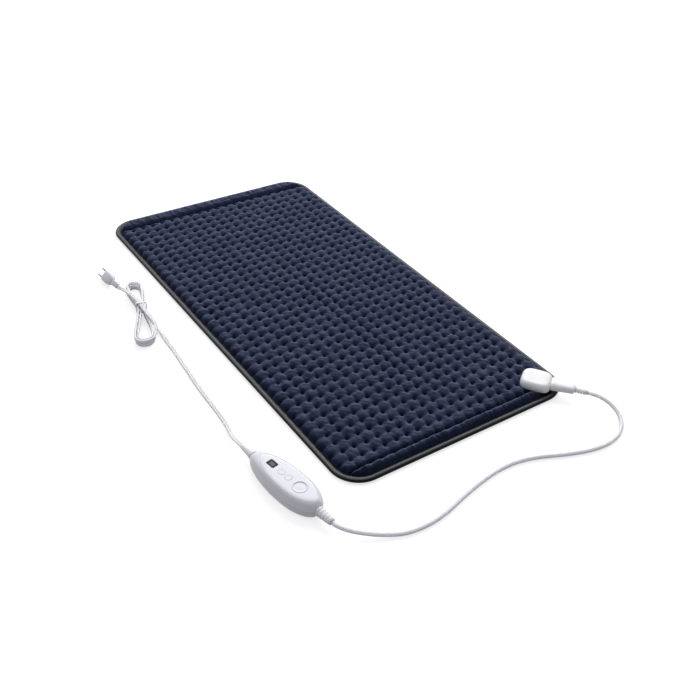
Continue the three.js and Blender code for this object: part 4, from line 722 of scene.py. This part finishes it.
# Socket.
# A white block moulded in one, that clamps the cover to a flange beneath with two screws from below.
# Its open front takes the connector, and four brass pins stand in a block inside.
def rounded_box(length, width, power, count):
    """Superellipse: |2x / length| ** power + |2y / width| ** power = 1."""
    turn = (np.arange(count) + 0.5) / count * 2 * np.pi
    c, s = np.cos(turn), np.sin(turn)
    return np.stack([length / 2 * np.sign(c) * np.abs(c) ** (2 / power),
                     width / 2 * np.sign(s) * np.abs(s) ** (2 / power)], axis=1)


def level_ring(outline, z, x=0.0):
    """An outline laid level at z, and moved along by x."""
    return np.column_stack([outline[:, 0] + x, outline[:, 1], np.full(len(outline), z)])


def bar(outline, z0, z1, x=0.0):
    """Straight bar that stands over an outline, from z0 up to z1."""
    return skinned([level_ring(outline, z0, x), level_ring(outline, z1, x)])


def brick(x0, x1, y0, y1, z0, z1):
    """Square bar between two opposite corners."""
    return bar(np.array([[x0, y0], [x1, y0], [x1, y1], [x0, y1]], float), z0, z1)


def drilled(x, y, radius, z0, z1, sides=64):
    """Round bar that stands at x and y, as a drill does in its hole."""
    return bar(circle(radius, sides) + [x, y], z0, z1)


milky_white = moulded("milky_white", (0.95, 0.95, 0.98), 0.99, 0.36, 900, 0.006)
CAP_SHOULDER, SHOULDER_IN, SHOULDER_UP, CAP_CROWN = 17.5, 6.5, 8, 0.3
turn_in = np.linspace(0, np.pi / 2, 14)[1:]
cap_sides = [(0.7, 12.1), (0.25, 12.25), (0, 12.9), (0, 15), (0, CAP_SHOULDER)]
cap_sides += list(zip(SHOULDER_IN * (1 - np.cos(turn_in)), CAP_SHOULDER + SHOULDER_UP * np.sin(turn_in)))
cap_rings = [level_ring(rounded_box(*(CAP_SIZE - 2 * inset), CAP_POWER, 160), z, CAP_MIDDLE)
             for inset, z in cap_sides]
cap_rings += [level_ring(rounded_box(*((CAP_SIZE - 2 * SHOULDER_IN) * share), CAP_POWER, 160),
                         CAP_SHOULDER + SHOULDER_UP + CAP_CROWN * (1 - share ** 2), CAP_MIDDLE)
              for share in (0.85, 0.6, 0.3, 0.05)]
cap_cuts = [brick(21.2, 40, -40, 40, 0, 60), brick(-20.3, 5, -12.3, 12.3, 5, 22.9),
            brick(3.7, 25, -9.6, 9.6, 14.1, 22.9)]
cap_cuts += [drilled(-8, y, 1.55, 4, 20.2) for y in (-16, 16)]
made("socket_block", *skinned(cap_rings), "pad", milky_white, ["socket_cap"], "white_shell", 32,
     cuts=cap_cuts, at=socket_at)
dressed(moulded("flange_plastic", (0.76, 0.76, 0.78), 0.95, 0.45), "socket_base")
brass = mottled("contact_brass", 0.3, (0.55, 0.36, 0.12), (0.72, 0.52, 0.2), (500, 3), (1800, 2),
                0.1, 0.0001, 1.0)
steel = mottled("screw_steel", 0.35, (0.42, 0.43, 0.45), (0.6, 0.61, 0.62), (400, 3), (1500, 2),
                0.15, 0.0001, 1.0)
dressed(brass, *[f"socket_pin_{k}" for k in (1, 2, 3, 4)])
dressed(steel, "socket_screw_1", "socket_screw_2")


# Connector.
# A tapering grip moulded over the lead's end, whose flat nose holds four brass contacts. A sleeve
# with four ribs comes out of its back and lets the lead bend.
def upright_ring(outline, x, z):
    """An outline stood upright across the x axis at x, and lifted by z."""
    return np.column_stack([np.full(len(outline), x), outline[:, 0], outline[:, 1] + z])


def turned_level(profile, y, z, sides=64):
    """Skin of [distance along x, radius] pairs turned about a level axis at y and z."""
    return skinned([upright_ring(circle(radius, sides) + [y, 0], x, z) for x, radius in profile])


def bored(x0, x1, radius, y, z):
    """Level round bar from x0 to x1, as a drill lies in its hole."""
    return turned_level([(x0, radius), (x1, radius)], y, z, 48)


def ribbed(start, length, count, first, last, depth):
    """Profile of a tapering sleeve cut by rounded grooves, one behind each rib but the last."""
    x = np.linspace(0, length, 30 * count)
    part = np.mod(x / length * count, 1)
    groove = eased((0.22 - np.abs(part - 0.78)) / 0.07) * (x < length * (count - 0.3) / count)
    radius = first + (last - first) * x / length - depth * groove
    radius -= 0.5 * eased((0.5 - x) / 0.5) + 0.6 * eased((x - length + 0.8) / 0.8)
    return list(zip(start + x, radius))


GRIP_FRONT, GRIP_BACK, GRIP_FROM, GRIP_TO = np.array([25, 15]), np.array([17, 12.4]), 22.9, 56.7


def grip_ring(x, share, shrink):
    """Rounded box across the grip, whose size goes by a share from the front's to the back's."""
    size = GRIP_FRONT + share * (GRIP_BACK - GRIP_FRONT) - shrink
    return upright_ring(rounded_box(*size, 3, 96), x, socket_axis)


nose_rings = [upright_ring(rounded_box(width, height, 5, 96), x, socket_axis)
              for x, width, height in ((5.9, 17.6, 7.2), (6.2, 18.2, 7.8), (6.7, 18.4, 8), (21.5, 18.4, 8))]
turn_in = np.linspace(0.2, np.pi / 2, 7)
grip_rings = [grip_ring(GRIP_FROM - 1.4 * np.cos(a), 0, 2 * (1 - np.sin(a))) for a in turn_in]
grip_rings += [grip_ring(GRIP_FROM + (GRIP_TO - GRIP_FROM) * t, t ** 1.1, 0)
               for t in np.linspace(0.05, 1, 16)]
grip_rings += [grip_ring(GRIP_TO + 2.3 * np.sin(a), 1, 3.2 * (1 - np.cos(a))) for a in turn_in]
connector_cuts = [bored(4, 16, 2.0, y, socket_axis) for y in (-6.6, -2.2, 2.2, 6.6)]
connector_cuts += [bored(53, 62, 4.2, 0, socket_axis)]
made("connector", *skinned(nose_rings + grip_rings), "cord_set", milky_white, ["connector_body"],
     "white_shell", 35, cuts=connector_cuts, at=socket_at)
soft_white = moulded("soft_white", (0.9, 0.9, 0.94), 0.98, 0.46, 600, 0.005)
connector_sleeve = made("connector_sleeve", *turned_level(
    [(53.3, 0.4), (53.3, 3.9), (59.25, 3.9)] + ribbed(59.3, 18.5, 4, 5.1, 4.5, 1.1) + [(77.8, 0.4)],
    0, socket_axis), "cord_set", soft_white, ["connector_strain_relief"], "white_relief", 50, at=socket_at)
dressed(brass, *[f"connector_contact_{k}" for k in (1, 2, 3, 4)])


# Controller case.
# Two white shells moulded to a hand's shape, closed by three screws from below. The top is let in for
# a thin panel, and each end holds a sleeve where a cord goes in.
CASE_LENGTH, CASE_WIDTH, CASE_POINTS, CASE_SOFTNESS = 137, 52, 240, 2.0
CASE_SHAPE = np.array([
    [-0.5, 0.31], [-0.44, 0.52], [-0.318, 0.75], [-0.12, 0.942], [0.098, 1],
    [0.281, 0.923], [0.412, 0.692], [0.478, 0.442], [0.5, 0.29]]) * [CASE_LENGTH, CASE_WIDTH / 2]


def case_ring(z, inset, pull):
    """Outline of the case drawn in by an inset, and by a pull that grows with the square of the way
    to the mains end. It is spaced evenly and its corners are eased by a bell curve 2 mm wide."""
    side = line_through(CASE_SHAPE, 12)
    half = CASE_LENGTH / 2
    x = side[:, 0] * (1 - inset / half) + pull * np.maximum(-side[:, 0] / half, 0) ** 2
    y = np.maximum(side[:, 1] - inset, 0.6)
    line = np.vstack([
        [x[0], 0], np.column_stack([x, y]), [x[-1], 0], np.column_stack([x, -y])[::-1], [x[0], 0]])
    length = run_along(line)[-1]
    even = spaced(line, np.linspace(0, length, CASE_POINTS, endpoint=False))
    wave = np.fft.fftfreq(CASE_POINTS, length / CASE_POINTS)
    blur = np.exp(-2 * (np.pi * wave * CASE_SOFTNESS) ** 2)[:, None]
    even = np.real(np.fft.ifft(np.fft.fft(even, axis=0) * blur, axis=0))
    return level_ring(even, z)


def case_body(levels, fine):
    """Rings of the case through outlines given as (level, inset, pull), with fine rings to each step
    on a smooth line through them, or just those."""
    return [case_ring(*level) for level in (line_through(levels, fine) if fine > 1 else levels)]


def rounded_window(length, width, radius, z0, z1, x):
    """Bar over a rectangle whose corners are quarter circles: one quarter, mirrored both ways."""
    quarter = bearing(np.linspace(0, np.pi / 2, 8)) * radius + [length / 2 - radius, width / 2 - radius]
    outline = np.vstack([quarter, (quarter * [-1, 1])[::-1], -quarter, (quarter * [1, -1])[::-1]])
    return bar(outline, z0, z1, x)


white_plastic = moulded("white_plastic", (0.81, 0.81, 0.85), 0.97, 0.34)
buttons = {"temp": (-8, 5.6, 28.4), "timer": (6.5, 5.6, 28.4), "power": (30, 11.2, 28.6)}
WINDOW_PLACE, WINDOW_TOP = -28.5, 27.9
face_cuts = [rounded_window(15.6, 11.6, 1.9, 20, 40, WINDOW_PLACE)]
face_cuts += [drilled(x, 0, radius + 0.12, 20, 40, 96) for x, radius, top in buttons.values()]
neck_cut = bored(-90, 90, 4.9, 0, case_axis)
upper_rings = case_body([
    (25.6, 6.2, 6), (23.5, 3.8, 3), (20, 2.8, 0.8), (13.65, 2.2, 0), (13.65, 0.3, 0)], 1)
upper_rings += case_body([(13.85, 0, 0), (17, 0.22, 0.1), (20, 0.85, 0.6), (23, 2, 2.2), (25, 3.2, 4.4),
                          (26.3, 4.4, 6.6), (27.1, 5.3, 8.4)], 5)
upper_rings += case_body([(27.16, 5.5, 8.8), (27.05, 5.68, 9.1), (26.4, 5.7, 9.2)], 1)
made("upper_shell", *skinned(upper_rings), "cord_set", white_plastic, ["controller_upper_shell"],
     "white_shell", 32, cuts=[*face_cuts, neck_cut], at=case_at)
lower_rings = case_body([(2.2, 7.1, 0), (5, 3.8, 0), (9, 2.5, 0), (13.35, 2.2, 0), (13.35, 0.3, 0)], 1)
lower_rings += case_body([
    (13.15, 0, 0), (8, 0.3, 0), (3, 2, 0), (0.8, 4.2, 0), (0.1, 5.6, 0), (0, 6.4, 0)], 4)
screw_cuts = [drilled(x, y, 3, -2, 2.9) for x, y in ((-46.5, 0), (53, 9.5), (53, -9.5))]
made("lower_shell", *skinned(lower_rings), "cord_set", white_plastic, ["controller_lower_shell"],
     "white_shell", 32, cuts=[neck_cut, *screw_cuts], at=case_at)
dressed(steel, "case_screw_1", "case_screw_2", "case_screw_3")


# Controller face.
# A satin panel with a dark window over the display, two small keys and a dished power key. The keys
# are moulded caps that slide in the roof on sprung switches.
def turned_upright(profile, x):
    """Skin of [level, radius] pairs turned about an upright axis at x."""
    return skinned([level_ring(circle(radius, 96), z, x) for z, radius in profile])


satin = moulded("satin_panel", (0.8, 0.8, 0.85), 0.98, 0.4, 1400)
panel_rings = case_body([(26.5, 6, 9.2), (27.1, 6, 9.2), (27.24, 6.06, 9.2)], 1)
panel_rings += case_body([(27.32, 6.25, 9.3), (27.6, 7.1, 9.8), (27.83, 8, 10.4), (28, 9.1, 11.2),
                          (28.1, 10.6, 12.4)], 3)
made("panel", *skinned(panel_rings), "cord_set", satin, ["face_panel"], "white_panel", 32,
     cuts=face_cuts, at=case_at)

screen, shader, place = finish_of("dark_window", 0.3, {"Specular IOR Level": 0.12})
pane = place.node("ShaderNodeAttribute", {"attribute_name": "pane"}, {}, "Fac")
lit_pane = (1 - pane.eased(0.48, 0.58)) * (0.75 + speckle(place, 220, 2) * 0.5)
coloured(shader, lit_pane, (0.004, 0.004, 0.005), (0.12, 0.12, 0.13))
embossed(shader, speckle(place, 300, 2), 0.05, 0.0001)
window_sides = rounded_window(15, 11, 1.6, 26.1, WINDOW_TOP, WINDOW_PLACE)[0].reshape(2, -1, 3)
window_middle = np.array([WINDOW_PLACE, 0, WINDOW_TOP])
shares = np.array([0.98, 0.9, 0.7, 0.58, 0.48, 0.2, 0.02])
window_rings = np.concatenate([
    window_sides, window_middle + shares[:, None, None] * (window_sides[1] - window_middle)])
window_pane = np.repeat([1, 1, *shares], window_sides.shape[1])
made("window", *skinned(window_rings), "cord_set", screen, ["display_window"], "dark_window", 40,
     marks={"pane": window_pane}, at=case_at)

for key, (x, radius, top) in buttons.items():
    stem = [(22.5, 0.2), (22.5, 2.2), (24, 2.2), (24, radius + 1.1), (25.2, radius + 1.1), (25.2, radius)]
    rim = [(top - 0.6, radius), (top - 0.35, radius - 0.06), (top - 0.16, radius - 0.25),
           (top - 0.05, radius - 0.6), (top, radius - 1.1)]
    dish = [(top - 0.08, 0.7 * radius), (top - 0.2, 0.45 * radius), (top - 0.26, 0.02)]
    if key == "power":
        dish = [(top - 0.1, 0.88 * radius), (top - 0.9, 0.845 * radius), (top - 1.15, 0.8 * radius),
                (top - 1.1, 0.6 * radius), (top - 0.92, 0.3 * radius), (top - 0.85, 0.02)]
    made(key + "_key_cap", *turned_upright(stem + rim + dish, x), key + "_key", satin,
         [key + "_button"], "white_panel", 50, at=case_at)


# Inside the controller.
# A green laminate board on four pegs, with the display, three sprung switches, a chip, a triac, a fuse
# and a dropper capacitor soldered to it.
board, shader, place = finish_of("board_laminate", 0.45)
tracks = place.node(
    "ShaderNodeTexVoronoi", {"distance": "MANHATTAN"}, {"Vector": place, "Scale": 260}, "Distance")
coloured(shader, tracks.eased(0.35, 0.55), (0.02, 0.11, 0.045), (0.05, 0.2, 0.09))
embossed(shader, tracks, 0.3, 0.0001)
dressed(board, "circuit_board")
dressed(black, "control_chip", "triac", "led_display", *[
    f"{key}_{part}" for key in buttons for part in ("switch", "plunger")])
dressed(moulded("capacitor_case", (0.36, 0.05, 0.035), 0.8, 0.4), "dropper_capacitor")
dressed(moulded("fuse_glass", (0.62, 0.66, 0.66), 0.9, 0.15), "fuse")


# Cord sleeves on the controller.
# At the pad's end a soft sleeve in five chunky ribs that taper, and at the mains end a smooth cone.
# Each has a collar clamped between the two shells.
pad_sleeve = made("pad_end_sleeve", *turned_level(
    [(62.8, 0.4), (62.8, 6), (64.4, 6), (64.4, 4.6), (68.75, 4.6)] + ribbed(68.8, 26.5, 5, 7.6, 5.5, 2.2)
    + [(95.3, 0.4)], 0, case_axis), "cord_set", soft_white, ["pad_end_strain_relief"], "white_relief", 50,
    at=case_at)
cone = line_through([[-68.9, 7.3], [-70, 7.6], [-73.5, 7.2], [-77.9, 6.4], [-86, 5.3], [-92, 4.6],
                     [-94, 4.45], [-94.6, 4.25], [-94.8, 3.9]], 6)
mains_sleeve = made("mains_end_sleeve", *turned_level(
    [(-62.8, 0.4), (-62.8, 6), (-64.4, 6), (-64.4, 4.6), (-68.8, 4.6)] + [tuple(pair) for pair in cone]
    + [(-94.8, 0.4)], 0, case_axis), "cord_set", milky_white, ["mains_end_strain_relief"],
    "white_relief", 50, at=case_at)


# Tie and plug.
# A flat white band holds the bow at its waist. The plug is moulded over the cord's end with a ribbed
# tail, tipped on one long edge, and two flat blades stand in its face.
def tie_band():
    """Band round the waist: a flat section with bevelled edges, carried round the inside of a
    rectangle across the bow whose corners are quarter circles."""
    low, high, bend, bevel = np.array([-8.425, 0.1]), np.array([10.025, 21.35]), 2, 0.3
    corners = np.where([[1, 1], [0, 1], [0, 0], [1, 0]], high - bend, low + bend)
    out = bearing(np.linspace(0, np.pi / 2, 9) + np.arange(4)[:, None] * np.pi / 2)
    line, out = (corners[:, None, :] + bend * out).reshape(-1, 2), out.reshape(-1, 2)
    half, thick = TIE_WIDTH / 2, TIE_THICKNESS
    section = np.array([
        [-half, bevel], [bevel - half, 0], [half - bevel, 0], [half, bevel], [half, thick - bevel],
        [half - bevel, thick], [bevel - half, thick], [-half, thick - bevel]])
    flat = line[:, None, :] - section[None, :, 1:] * out[:, None, :]
    u = np.broadcast_to(section[None, :, 0], flat.shape[:2])
    level = hank_place + u[..., None] * hank_ahead + flat[..., :1] * hank_beside
    rings = np.concatenate([level, flat[..., 1:]], axis=2)
    points, faces = skinned(np.concatenate([rings, rings[:1]]))
    return points, faces[:-2]


tie = made("tie_band", *tie_band(), "cord_set", moulded("tie_white", (0.84, 0.84, 0.86), 0.96, 0.4),
           ["cable_tie"], "white_relief", 40)


def plug_rings():
    """Rings of the plug from its face to its tail: rounded boxes whose width and thickness follow a
    smooth line, then three ribs that follow the cord's flat shape."""
    body = line_through([
        [0, 18.6, 11.4], [-0.5, 19.8, 12.6], [-2, 20.5, 13.3], [-8, 20.8, 13.6], [-14, 20.6, 13.5],
        [-19, 18.9, 12.6], [-23, 14.6, 10.6], [-PLUG_BODY, 11.8, 9.1]], 4)
    along = np.linspace(0.3, 18.6, 60)
    part = np.mod(along / PLUG_TAIL * 3, 1)
    groove = eased((0.17 - np.abs(part - 0.17)) / 0.12)
    width = 10.8 - 0.07 * along - 2.2 * groove
    thickness = 7 - 0.055 * along - 1.8 * groove
    sizes = np.vstack([body, np.column_stack([-PLUG_BODY - along, width, thickness])])
    return np.stack([upright_ring(rounded_box(w, t, 3.4, 72), x, 0) for x, w, t in sizes])


def at_plug(points):
    """Points from the plug's frame: tipped about its own axis, turned to its heading and moved."""
    c, s = bearing(np.pi - plug_lean)
    tipped = points @ np.array([[1, 0, 0], [0, c, s], [0, -s, c]])
    return placed(tipped, plug_place, np.degrees(plug_heading))


plug_points, plug_faces = skinned(plug_rings())
BLADE_SPACING = 12.7
blade_cuts = [brick(-6.3, 5, y - 1.05, y + 1.05, -3.475, 3.475)
              for y in (-BLADE_SPACING / 2, BLADE_SPACING / 2)]
plug = made("plug", at_plug(plug_points), plug_faces, "cord_set", white_plastic, ["plug_body"],
            "white_shell", 40, cuts=[(at_plug(cut), faces) for cut, faces in blade_cuts])
nickel = mottled("blade_nickel", 0.32, (0.07, 0.07, 0.075), (0.14, 0.14, 0.15), (350, 3), (1400, 2),
                 0.15, 0.0001, 1.0)
dressed(nickel, "plug_blade_1", "plug_blade_2")
